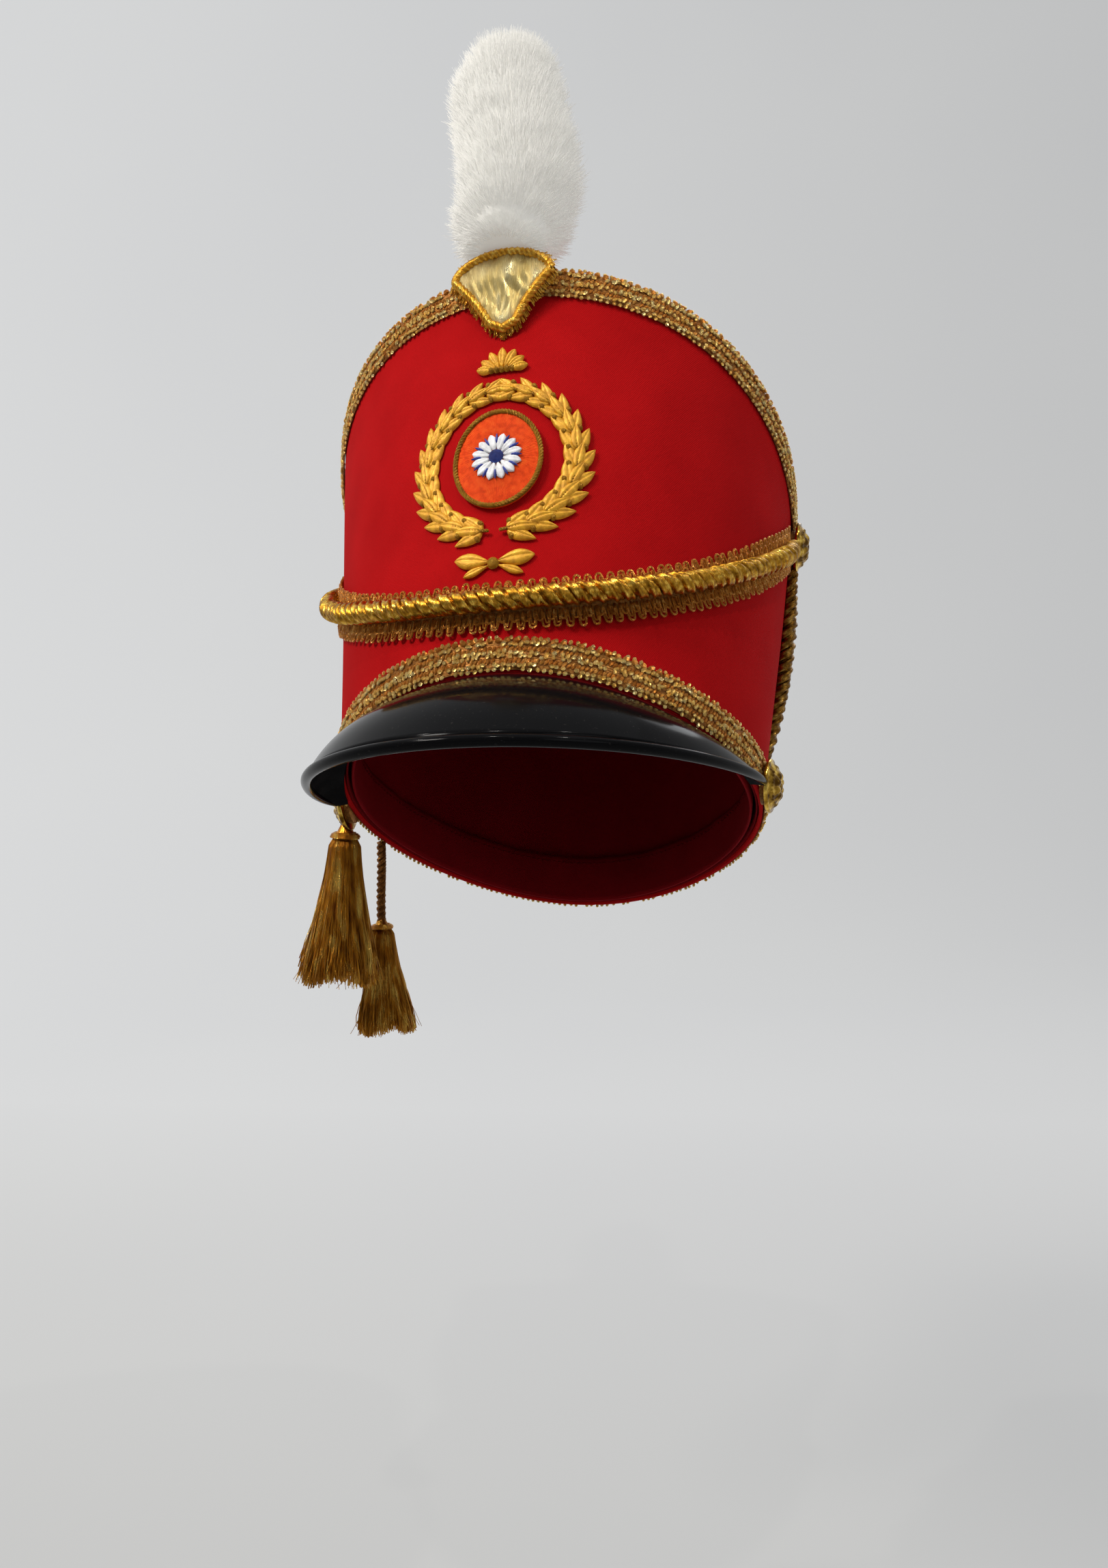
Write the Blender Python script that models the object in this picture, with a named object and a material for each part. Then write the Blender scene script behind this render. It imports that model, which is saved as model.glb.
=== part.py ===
"""Parade shako: a cloth cap with a raised front, braid, cords, buttons, a peak,
a cockade with a plume, an embroidered badge and two hanging tassels.

Metres, +Z up. The cap is modelled upright in its own frame, whose origin is the
centre of the head opening, and an empty leans it back as it is worn: the front
of the cap looks along -Y. The tassels hang plumb, so they are modelled in the
world's frame. Angles round the cap start at the front and grow towards +X.
"""
import bmesh
import bpy
import math
from mathutils import Matrix, Vector

# Attitude
WORN_LEAN = math.radians(24.0)

# Crown
RIM_HALF_WIDTH = 0.092
RIM_HALF_DEPTH = 0.0961
CROWN_FLARE = 0.110
TOP_FRONT = 0.1939
TOP_SIDE = 0.1536
TOP_BACK = 0.1130
TOP_SHOULDER = 0.0017
RIM_FRONT = 0.0160
RIM_SIDE = 0.0
RIM_BACK = -0.0134
RIM_SHOULDER = -0.0018
WALL_THICKNESS = 0.0022
TOP_INSET = 0.0050
TOP_THICKNESS = 0.0020
FIT_GAP = 0.0003

# Braid on the two edges
BRAID_WIDTH = 0.0130
BRAID_THICKNESS = 0.0018
BRAID_CORNER_SHARE = 0.12

# Gimp and cord that droop across the front, and the slack cord round the back
DRAPE_FRONT = 0.0419
DRAPE_SIDE = 0.1266
DRAPE_SHOULDER = 0.0036
GIMP_WIDTH = 0.0205
GIMP_THICKNESS = 0.0010
GIMP_LOOP_PITCH = 0.0045
GIMP_LOOP_DEPTH = 0.0030
CORD_DIAMETER = 0.0090
CORD_STRAND_COUNT = 3
CORD_LAY_LENGTH = 0.0165
CORD_VALLEY_SHARE = 0.76
BACK_CORD_ANGLE = math.radians(96.0)
BACK_CORD_LOW = RIM_BACK + 0.0225
BACK_CORD_FULLNESS = 3.5

# Buttons
BUTTON_DIAMETER = 0.0230
BUTTON_THICKNESS = 0.0070
UPPER_BUTTON_ANGLE = math.radians(94.0)
LOWER_BUTTON_ANGLE = math.radians(86.5)
UPPER_BUTTON_HEIGHT = TOP_SIDE - 0.0221
LOWER_BUTTON_HEIGHT = 0.0045
BUTTON_CLEARANCE = 0.0016

# Peak
PEAK_HALF_WIDTH = 0.0950
PEAK_REACH = 0.1150
PEAK_CENTRE_BACK = -0.0200
PEAK_EDGE_HEIGHT = -0.0005
PEAK_EDGE_SLOPE = 0.259
PEAK_EDGE_POINT = 1.14
PEAK_THICKNESS = 0.0020
PEAK_BEAD_DIAMETER = 0.0046
PEAK_CROWN = 0.0050
PEAK_END_ANGLE = math.radians(78.0)

# Cockade and plume
COCKADE_WIDTH = 0.0410
COCKADE_HEIGHT = 0.0344
COCKADE_TIP_HEIGHT = TOP_FRONT - 0.0296
COCKADE_CORNER_SHARE = 0.70
COCKADE_TIP_SHARE = 0.10
COCKADE_WAIST_SHARE = 0.06
COCKADE_PLEAT = 0.0007
COCKADE_THICKNESS = 0.0032
COCKADE_CORD_DIAMETER = 0.0028
COCKADE_LEAN = 0.0048
PLUME_DIAMETER = 0.0590
PLUME_BASE_HEIGHT = TOP_FRONT + 0.0106
PLUME_LENGTH = 0.1250
PLUME_FORWARD_LEAN = math.radians(2.0)
PLUME_LOCK_COUNT = 9
PLUME_LOCK_DEPTH = 0.0030
PLUME_STEM_WIDTH = 0.0080
PLUME_STEM_THICKNESS = 0.0016
PLUME_STEM_LENGTH = 0.0165
PLUME_STEM_OVERLAP = 0.0100
PLUME_WAVE = 0.0040

# Badge
BADGE_SEAT = 0.0008
BADGE_CENTRE_HEIGHT = 0.1055
BADGE_WIDTH = 0.0800
BADGE_HEIGHT = 0.0800
WREATH_BAND = 0.0170
WREATH_THICKNESS = 0.0022
LEAF_COUNT = 22
MEDALLION_WIDTH = 0.0360
MEDALLION_HEIGHT = 0.0430
MEDALLION_THICKNESS = 0.0028
ROSETTE_DIAMETER = 0.0210
ROSETTE_THICKNESS = 0.0020
CREST_WIDTH = 0.0230
CREST_HEIGHT = 0.0115
BOW_WIDTH = 0.0340
BOW_HEIGHT = 0.0095

# Tassels
FRONT_TASSEL_LENGTH = 0.0688
FRONT_TASSEL_DIAMETER = 0.0345
REAR_TASSEL_LENGTH = 0.0510
REAR_TASSEL_DIAMETER = 0.0270
TASSEL_LOCK_COUNT = 8
TASSEL_LOCK_DEPTH = 0.0012
TASSEL_CORD_DIAMETER = 0.0045
FRONT_TASSEL_TOP = (-0.0976, -0.0030, -0.0052)
FRONT_TASSEL_SWAY = math.radians(6.0)
REAR_TASSEL_TOP = (-0.0926, 0.0217, -0.0508)
REAR_CORD_ANGLE = math.radians(-103.0)
REAR_CORD_DROP = 0.0016
REAR_CORD_POINTS = 14

# Columns: share of the length from the top, share of the skirt's diameter
TASSEL_PROFILE = (
    (0.000, 0.20),
    (0.020, 0.34),
    (0.060, 0.41),
    (0.120, 0.44),
    (0.200, 0.47),
    (0.300, 0.52),
    (0.420, 0.60),
    (0.650, 0.77),
    (0.860, 0.94),
    (1.000, 1.00),
)

# Columns: share of the plume's length, share of its diameter
PLUME_PROFILE = (
    (0.000, 0.66),
    (0.035, 0.86),
    (0.150, 0.95),
    (0.330, 0.98),
    (0.520, 1.00),
    (0.700, 0.98),
    (0.850, 0.86),
    (0.950, 0.60),
    (1.000, 0.28),
)

# Columns: share of the button's radius, share of its thickness
BUTTON_PROFILE = (
    (1.00, 0.00),
    (1.00, 0.26),
    (0.86, 0.34),
    (0.74, 0.62),
    (0.42, 0.92),
    (0.00, 1.00),
)

# Mesh density
CROWN_SEGMENTS = 60
CROWN_ROWS = 2
GIMP_STEPS_PER_LOOP = 2
CORD_STEPS_PER_LAY = 5
CORD_SIDES = 6
BUTTON_SIDES = 16
PEAK_COLUMNS = 32
TASSEL_SIDES = 20
PLUME_SIDES = 27
COCKADE_POINTS = 28
COCKADE_CORD_POINTS = 38

RED_CLOTH = (0.38, 0.004, 0.006, 1.0)
GOLD_THREAD = (0.78, 0.47, 0.10, 1.0)
GOLD_METAL = (0.80, 0.55, 0.18, 1.0)
BLACK_GLOSS = (0.012, 0.012, 0.014, 1.0)
PALE_GOLD = (0.80, 0.66, 0.40, 1.0)
WHITE_FEATHER = (0.86, 0.83, 0.76, 1.0)
ORANGE_THREAD = (0.75, 0.20, 0.02, 1.0)
WHITE_THREAD = (0.80, 0.80, 0.80, 1.0)


def clear_scene():
    for item in list(bpy.data.objects):
        bpy.data.objects.remove(item, do_unlink=True)


def make_material(name, colour, roughness, metallic):
    material = bpy.data.materials.new(name)
    material.use_nodes = True
    shader = material.node_tree.nodes["Principled BSDF"]
    shader.inputs["Base Color"].default_value = colour
    shader.inputs["Roughness"].default_value = roughness
    shader.inputs["Metallic"].default_value = metallic
    return material


def crown_half_width(height):
    return RIM_HALF_WIDTH + CROWN_FLARE * height


def crown_half_depth(height):
    return crown_half_width(height) * RIM_HALF_DEPTH / RIM_HALF_WIDTH


def wall_point(angle, height, out=0.0):
    """A point at this height, `out` beyond the crown's outer face."""
    return Vector((
        (crown_half_width(height) + out) * math.sin(angle),
        -(crown_half_depth(height) + out) * math.cos(angle),
        height,
    ))


def wall_normal(angle, height):
    """The outward normal of the crown's outer face."""
    step = 0.001
    along = wall_point(angle + step, height) - wall_point(angle - step, height)
    upward = wall_point(angle, height + step) - wall_point(angle, height - step)
    return along.cross(upward).normalized()


def edge_height(front, side, back, shoulder, angle):
    """Height of an edge round the crown, from its heights at front, side and back."""
    tilt = 0.5 * (front - back) * math.cos(angle)
    dish = (0.5 * (front + back) - side) * math.cos(angle) ** 2
    swell = shoulder * (math.cos(angle) - math.cos(3.0 * angle))
    return side + tilt + dish + swell


def top_height(angle):
    return edge_height(TOP_FRONT, TOP_SIDE, TOP_BACK, TOP_SHOULDER, angle)


def rim_height(angle):
    return edge_height(RIM_FRONT, RIM_SIDE, RIM_BACK, RIM_SHOULDER, angle)


def drape_height(angle):
    fall = (DRAPE_SIDE - DRAPE_FRONT) * math.cos(angle)
    swell = DRAPE_SHOULDER * (math.cos(angle) - math.cos(3.0 * angle))
    return DRAPE_SIDE - fall - swell


def slope_stretch(height_at, angle):
    """How much longer a vertical cut through a band is than the band is wide."""
    step = 0.01
    rise = height_at(angle + step) - height_at(angle - step)
    run = (wall_point(angle + step, 0.0) - wall_point(angle - step, 0.0)).length
    return math.sqrt(1.0 + (rise / run) ** 2)


def full_circle(count):
    return [2.0 * math.pi * i / count for i in range(count)]


def spaced(start, stop, count):
    return [start + (stop - start) * i / (count - 1) for i in range(count)]


def add_object(name, bm, material, parent=None, smooth_angle=40.0):
    bmesh.ops.recalc_face_normals(bm, faces=bm.faces)
    mesh = bpy.data.meshes.new(name)
    bm.to_mesh(mesh)
    bm.free()
    mesh.materials.append(material)
    mesh.shade_smooth()
    mesh.set_sharp_from_angle(angle=math.radians(smooth_angle))
    item = bpy.data.objects.new(name, mesh)
    bpy.context.scene.collection.objects.link(item)
    item.parent = parent
    return item


def loft(sections, closed_path=False):
    """Join closed sections of equal length into one solid, capped unless it is a ring."""
    bm = bmesh.new()
    rings = [[bm.verts.new(point) for point in section] for section in sections]
    size = len(rings[0])
    pairs = list(zip(rings, rings[1:]))
    if closed_path:
        pairs.append((rings[-1], rings[0]))
    for ring, following in pairs:
        for i in range(size):
            j = (i + 1) % size
            bm.faces.new((ring[i], ring[j], following[j], following[i]))
    if not closed_path:
        bm.faces.new(rings[0])
        bm.faces.new(rings[-1])
    return bm


def turn(profile, sides, place, end_radius=1.0e-6):
    """Turn (radius, height) pairs; a pair on the axis closes to one point."""
    bm = bmesh.new()
    rings = []
    for radius, height in profile:
        if radius < end_radius:
            rings.append([bm.verts.new(place(0.0, 0.0, height))])
            continue
        rings.append([
            bm.verts.new(place(radius * math.cos(a), radius * math.sin(a), height))
            for a in full_circle(sides)
        ])
    for ring, following in zip(rings, rings[1:]):
        for i in range(sides):
            j = (i + 1) % sides
            if len(following) == 1:
                bm.faces.new((ring[i], ring[j], following[0]))
            elif len(ring) == 1:
                bm.faces.new((ring[0], following[j], following[i]))
            else:
                bm.faces.new((ring[i], ring[j], following[j], following[i]))
    for ring in (rings[0], rings[-1]):
        if len(ring) > 1:
            bm.faces.new(ring)
    return bm


def wall_patch(outline, back, front, centre_lift=0.0):
    """A flat-backed patch on the crown: outline points are (across, height) pairs.

    `back` and `front` are its faces' distances beyond the wall, and the front face
    rises by `centre_lift` towards its middle.
    """
    bm = bmesh.new()
    middle_across = sum(p[0] for p in outline) / len(outline)
    middle_height = sum(p[1] for p in outline) / len(outline)

    def place(across, height, out):
        return wall_point(across / crown_half_width(height), height, out)

    inner_share = 0.72
    inner = [
        (middle_across + inner_share * (a - middle_across),
         middle_height + inner_share * (h - middle_height))
        for a, h in outline
    ]
    rear_rim = [bm.verts.new(place(a, h, back)) for a, h in outline]
    front_rim = [bm.verts.new(place(a, h, front)) for a, h in outline]
    front_inner = [bm.verts.new(place(a, h, front + 0.7 * centre_lift)) for a, h in inner]
    rear_inner = [bm.verts.new(place(a, h, back)) for a, h in inner]
    rear_middle = bm.verts.new(place(middle_across, middle_height, back))
    front_middle = bm.verts.new(place(middle_across, middle_height, front + centre_lift))
    count = len(outline)
    for i in range(count):
        j = (i + 1) % count
        bm.faces.new((rear_rim[i], rear_rim[j], front_rim[j], front_rim[i]))
        bm.faces.new((front_rim[i], front_rim[j], front_inner[j], front_inner[i]))
        bm.faces.new((front_inner[i], front_inner[j], front_middle))
        bm.faces.new((rear_rim[j], rear_rim[i], rear_inner[i], rear_inner[j]))
        bm.faces.new((rear_inner[j], rear_inner[i], rear_middle))
    return bm


def make_lean():
    lean = bpy.data.objects.new("worn_lean", None)
    lean.rotation_euler = (-WORN_LEAN, 0.0, 0.0)
    bpy.context.scene.collection.objects.link(lean)
    return lean


def to_world(point):
    return Matrix.Rotation(-WORN_LEAN, 3, "X") @ Vector(point)


def make_crown_wall(material, parent):
    sections = []
    for angle in full_circle(CROWN_SEGMENTS):
        low = rim_height(angle)
        high = top_height(angle)
        outer = [
            wall_point(angle, low + (high - low) * i / CROWN_ROWS)
            for i in range(CROWN_ROWS + 1)
        ]
        inner = [
            wall_point(angle, low + (high - low) * i / CROWN_ROWS, -WALL_THICKNESS)
            for i in reversed(range(CROWN_ROWS + 1))
        ]
        sections.append(outer + inner)
    return add_object("crown_wall", loft(sections, closed_path=True), material, parent)


def make_crown_top(material, parent):
    """The top is a stiff sheet, straight from side to side, just below the edge."""
    bm = bmesh.new()
    faces = {}
    for side, drop in (("top", TOP_INSET), ("bottom", TOP_INSET + TOP_THICKNESS)):
        rings = []
        for share in (1.0, 0.66, 0.33):
            ring = []
            for angle in full_circle(CROWN_SEGMENTS):
                height = top_height(angle) - drop
                edge = wall_point(angle, height, -WALL_THICKNESS - FIT_GAP)
                matching = math.acos(max(-1.0, min(1.0, share * math.cos(angle))))
                ring.append(bm.verts.new((
                    share * edge.x, share * edge.y, top_height(matching) - drop,
                )))
            rings.append(ring)
        middle = bm.verts.new((0.0, 0.0, top_height(0.5 * math.pi) - drop))
        faces[side] = (rings, middle)
    for rings, middle in faces.values():
        for ring, following in zip(rings, rings[1:]):
            for i in range(CROWN_SEGMENTS):
                j = (i + 1) % CROWN_SEGMENTS
                bm.faces.new((ring[i], ring[j], following[j], following[i]))
        for i in range(CROWN_SEGMENTS):
            bm.faces.new((rings[-1][i], rings[-1][(i + 1) % CROWN_SEGMENTS], middle))
    upper = faces["top"][0][0]
    lower = faces["bottom"][0][0]
    for i in range(CROWN_SEGMENTS):
        j = (i + 1) % CROWN_SEGMENTS
        bm.faces.new((upper[i], upper[j], lower[j], lower[i]))
    return add_object("crown_top", bm, material, parent)


def braid_section(angle, bottom, top):
    """A band's section on the wall, its outer corners rounded off."""
    rise = top - bottom
    back = FIT_GAP
    middle = FIT_GAP + 0.6 * BRAID_THICKNESS
    front = FIT_GAP + BRAID_THICKNESS
    corner = BRAID_CORNER_SHARE
    return [
        wall_point(angle, bottom, back),
        wall_point(angle, bottom, middle),
        wall_point(angle, bottom + corner * rise, front),
        wall_point(angle, top - corner * rise, front),
        wall_point(angle, top, middle),
        wall_point(angle, top, back),
    ]


def make_top_braid(material, parent):
    sections = []
    for angle in full_circle(CROWN_SEGMENTS):
        top = top_height(angle)
        bottom = top - BRAID_WIDTH * slope_stretch(top_height, angle)
        sections.append(braid_section(angle, bottom, top))
    return add_object("top_braid", loft(sections, closed_path=True), material, parent)


def make_rim_braid(material, parent):
    sections = []
    for angle in full_circle(CROWN_SEGMENTS):
        bottom = rim_height(angle)
        top = bottom + BRAID_WIDTH * slope_stretch(rim_height, angle)
        sections.append(braid_section(angle, bottom, top))
    return add_object("rim_braid", loft(sections, closed_path=True), material, parent)


def drape_end_angle():
    """Where the drooping cord meets the flank of the upper button."""
    clearance = 0.5 * BUTTON_DIAMETER + BUTTON_CLEARANCE
    return UPPER_BUTTON_ANGLE - clearance / crown_half_width(UPPER_BUTTON_HEIGHT)


def back_cord_height(angle):
    """A slack cord falls steeply from the upper buttons and flattens behind."""
    high = UPPER_BUTTON_HEIGHT - 0.5 * BUTTON_DIAMETER - BUTTON_CLEARANCE
    share = abs(math.pi - angle) / (math.pi - BACK_CORD_ANGLE)
    return BACK_CORD_LOW + (high - BACK_CORD_LOW) * share ** BACK_CORD_FULLNESS


def line_length(height_at, start, end):
    points = [wall_point(a, height_at(a)) for a in spaced(start, end, 181)]
    return sum((b - a).length for a, b in zip(points, points[1:]))


def even_angles(height_at, start, end, steps):
    """Angles that divide a line on the crown into even lengths."""
    angles = spaced(start, end, 361)
    points = [wall_point(a, height_at(a)) for a in angles]
    run = [0.0]
    for a, b in zip(points, points[1:]):
        run.append(run[-1] + (b - a).length)
    found = []
    k = 0
    for i in range(steps + 1):
        target = run[-1] * i / steps
        while k < len(run) - 2 and run[k + 1] < target:
            k += 1
        share = (target - run[k]) / (run[k + 1] - run[k])
        found.append(angles[k] + share * (angles[k + 1] - angles[k]))
    return found


def make_front_gimp(material, parent):
    """A flat strip with a row of thread loops along each edge."""
    end = drape_end_angle()
    loops = round(line_length(drape_height, -end, end) / GIMP_LOOP_PITCH)
    angles = even_angles(drape_height, -end, end, loops * GIMP_STEPS_PER_LOOP)
    sections = []
    for i, angle in enumerate(angles):
        notch = GIMP_LOOP_DEPTH if i % GIMP_STEPS_PER_LOOP == 0 else 0.0
        half = (0.5 * GIMP_WIDTH - notch) * slope_stretch(drape_height, angle)
        middle = drape_height(angle)
        front = FIT_GAP + GIMP_THICKNESS
        sections.append([
            wall_point(angle, middle - half, FIT_GAP),
            wall_point(angle, middle - half, front),
            wall_point(angle, middle + half, front),
            wall_point(angle, middle + half, FIT_GAP),
        ])
    return add_object("front_gimp", loft(sections), material, parent)


def twisted_sections(points, outwards):
    """Sections of a right-hand laid cord: each has one lobe for each strand."""
    sections = []
    run = 0.0
    for i, point in enumerate(points):
        before = points[max(i - 1, 0)]
        after = points[min(i + 1, len(points) - 1)]
        tangent = (after - before).normalized()
        normal = (outwards[i] - tangent * outwards[i].dot(tangent)).normalized()
        across = tangent.cross(normal)
        if i:
            run += (point - points[i - 1]).length
        turned = 2.0 * math.pi * run / CORD_LAY_LENGTH
        section = []
        for k in range(CORD_SIDES):
            lobe = 1.0 if k % (CORD_SIDES // CORD_STRAND_COUNT) == 0 else CORD_VALLEY_SHARE
            radius = 0.5 * CORD_DIAMETER * lobe
            a = turned + 2.0 * math.pi * k / CORD_SIDES
            section.append(point + radius * (math.cos(a) * normal + math.sin(a) * across))
        sections.append(section)
    return sections


def make_cord(name, height_at, start, end, out, material, parent):
    length = line_length(height_at, start, end)
    steps = round(length * CORD_STEPS_PER_LAY / CORD_LAY_LENGTH)
    angles = even_angles(height_at, start, end, steps)
    points = [wall_point(a, height_at(a), out) for a in angles]
    outwards = [wall_normal(a, height_at(a)) for a in angles]
    return add_object(name, loft(twisted_sections(points, outwards)), material, parent)


def make_front_cord(material, parent):
    end = drape_end_angle()
    out = 2.0 * FIT_GAP + GIMP_THICKNESS + 0.5 * CORD_DIAMETER
    return make_cord("front_cord", drape_height, -end, end, out, material, parent)


def make_back_cord(material, parent):
    end = 2.0 * math.pi - BACK_CORD_ANGLE
    out = FIT_GAP + 0.5 * CORD_DIAMETER
    return make_cord("back_cord", back_cord_height, BACK_CORD_ANGLE, end, out, material, parent)


def make_button(name, angle, height, material, parent):
    normal = wall_normal(angle, height)
    seat = wall_point(angle, height) + normal * (2.0 * FIT_GAP + BRAID_THICKNESS)
    upward = Vector((0.0, 0.0, 1.0))
    across = upward.cross(normal).normalized()
    upward = normal.cross(across)

    def place(x, y, z):
        return seat + across * x + upward * y + normal * z

    profile = [
        (radius * 0.5 * BUTTON_DIAMETER, depth * BUTTON_THICKNESS)
        for radius, depth in BUTTON_PROFILE
    ]
    return add_object(name, turn(profile, BUTTON_SIDES, place), material, parent)


def peak_edge_point(angle):
    """The peak's outer edge is half of a slightly pointed oval in a sloping plane."""
    back = -PEAK_REACH * max(0.0, math.cos(angle)) ** PEAK_EDGE_POINT
    return Vector((
        PEAK_HALF_WIDTH * math.sin(angle),
        PEAK_CENTRE_BACK + back,
        PEAK_EDGE_HEIGHT + PEAK_EDGE_SLOPE * back,
    ))


def peak_root_point(angle):
    """The peak starts against the crown's lower edge."""
    return wall_point(angle, rim_height(angle) - FIT_GAP - 0.5 * PEAK_THICKNESS,
                      -0.5 * WALL_THICKNESS)


def make_peak(material, parent):
    """A shell from the crown's lower edge to a rolled outer edge."""
    sections = []
    shares = (0.0, 0.30, 0.62, 0.90)
    bead_angles = [math.radians(d) for d in (125, 65, 5, -55, -115)]
    for i in range(PEAK_COLUMNS + 1):
        sweep = -1.0 + 2.0 * i / PEAK_COLUMNS
        root = peak_root_point(sweep * PEAK_END_ANGLE)
        edge = peak_edge_point(sweep * 0.5 * math.pi)
        outwards = (edge - root).normalized()
        step = 0.01
        after = peak_edge_point(sweep * 0.5 * math.pi + step)
        before = peak_edge_point(sweep * 0.5 * math.pi - step)
        along = (after - before).normalized()
        upward = outwards.cross(along).normalized()
        if upward.z < 0.0:
            upward = -upward
        upper = []
        lower = []
        for share in shares:
            crown = PEAK_CROWN * math.sin(math.pi * share) * math.cos(0.5 * math.pi * sweep)
            middle = root + (edge - root) * share + upward * crown
            upper.append(middle + upward * 0.5 * PEAK_THICKNESS)
            lower.append(middle - upward * 0.5 * PEAK_THICKNESS)
        bead = [
            edge + 0.5 * PEAK_BEAD_DIAMETER * (outwards * math.cos(a) + upward * math.sin(a))
            for a in bead_angles
        ]
        sections.append(upper + bead + lower[::-1])
    return add_object("peak", loft(sections), material, parent)


def cockade_outline(count, inset=0.0):
    """A fan: an arched top between two corners, and sides that meet in a tip."""
    half = 0.5 * COCKADE_WIDTH
    corner = COCKADE_CORNER_SHARE * COCKADE_HEIGHT
    arch = COCKADE_HEIGHT - corner
    tip_half = COCKADE_TIP_SHARE * COCKADE_WIDTH
    pull = COCKADE_WAIST_SHARE * half
    points = []
    arc_count = count // 2
    for i in range(arc_count + 1):
        a = math.pi * i / arc_count
        points.append((half * math.cos(a), corner + arch * math.sin(a)))
    side_count = (count - arc_count - 1) // 2
    for i in range(1, side_count + 1):
        share = i / (side_count + 1)
        waist = half + (tip_half - half) * share - pull * math.sin(math.pi * share)
        points.append((-waist, corner * (1.0 - share)))
    points.append((0.0, 0.0))
    for i in range(side_count, 0, -1):
        share = i / (side_count + 1)
        waist = half + (tip_half - half) * share - pull * math.sin(math.pi * share)
        points.append((waist, corner * (1.0 - share)))
    middle = 0.6 * COCKADE_HEIGHT
    shrink = 1.0 - inset / (0.5 * COCKADE_HEIGHT)
    return [(x * shrink, middle + (y - middle) * shrink) for x, y in points]


def cockade_place(across, rise, out):
    """The fan leans forward from its tip, over the braid and the plume's stem."""
    height = COCKADE_TIP_HEIGHT + rise
    lean = COCKADE_LEAN * min(1.0, 1.6 * rise / COCKADE_HEIGHT)
    return wall_point(across / crown_half_width(height), height, FIT_GAP + lean + out)


def make_cockade(material, parent):
    bm = bmesh.new()
    outline = cockade_outline(COCKADE_POINTS, inset=COCKADE_CORD_DIAMETER + FIT_GAP)
    hub = (0.0, 0.22 * COCKADE_HEIGHT)
    middle = [(0.5 * (x + hub[0]), 0.5 * (y + hub[1])) for x, y in outline]

    def ring(points, out, fold):
        return [
            bm.verts.new(cockade_place(x, y, out + (fold if i % 2 else -fold)))
            for i, (x, y) in enumerate(points)
        ]

    rear = ring(outline, 0.0, 0.0)
    rear_middle = ring(middle, 0.0, 0.0)
    front = ring(outline, COCKADE_THICKNESS - COCKADE_PLEAT, 0.0)
    raised = ring(middle, COCKADE_THICKNESS, COCKADE_PLEAT)
    rear_hub = bm.verts.new(cockade_place(hub[0], hub[1], 0.0))
    front_hub = bm.verts.new(cockade_place(hub[0], hub[1], COCKADE_THICKNESS))
    count = len(outline)
    for i in range(count):
        j = (i + 1) % count
        bm.faces.new((rear[i], rear[j], front[j], front[i]))
        bm.faces.new((front[i], front[j], raised[j], raised[i]))
        bm.faces.new((raised[i], raised[j], front_hub))
        bm.faces.new((rear[j], rear[i], rear_middle[i], rear_middle[j]))
        bm.faces.new((rear_middle[j], rear_middle[i], rear_hub))
    return add_object("cockade", bm, material, parent, smooth_angle=60.0)


def make_cockade_cord(material, parent):
    """A thin cord runs round the fan's outline."""
    outline = cockade_outline(COCKADE_CORD_POINTS, inset=0.5 * COCKADE_CORD_DIAMETER)
    out = 0.5 * COCKADE_CORD_DIAMETER
    points = [cockade_place(x, y, out) for x, y in outline]
    count = len(points)
    sections = []
    for i, point in enumerate(points):
        tangent = (points[(i + 1) % count] - points[i - 1]).normalized()
        normal = wall_normal(0.0, COCKADE_TIP_HEIGHT)
        normal = (normal - tangent * normal.dot(tangent)).normalized()
        across = tangent.cross(normal)
        sections.append([
            point + 0.5 * COCKADE_CORD_DIAMETER * (math.cos(a) * normal + math.sin(a) * across)
            for a in full_circle(6)
        ])
    return add_object("cockade_cord", loft(sections, closed_path=True), material, parent)


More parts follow.
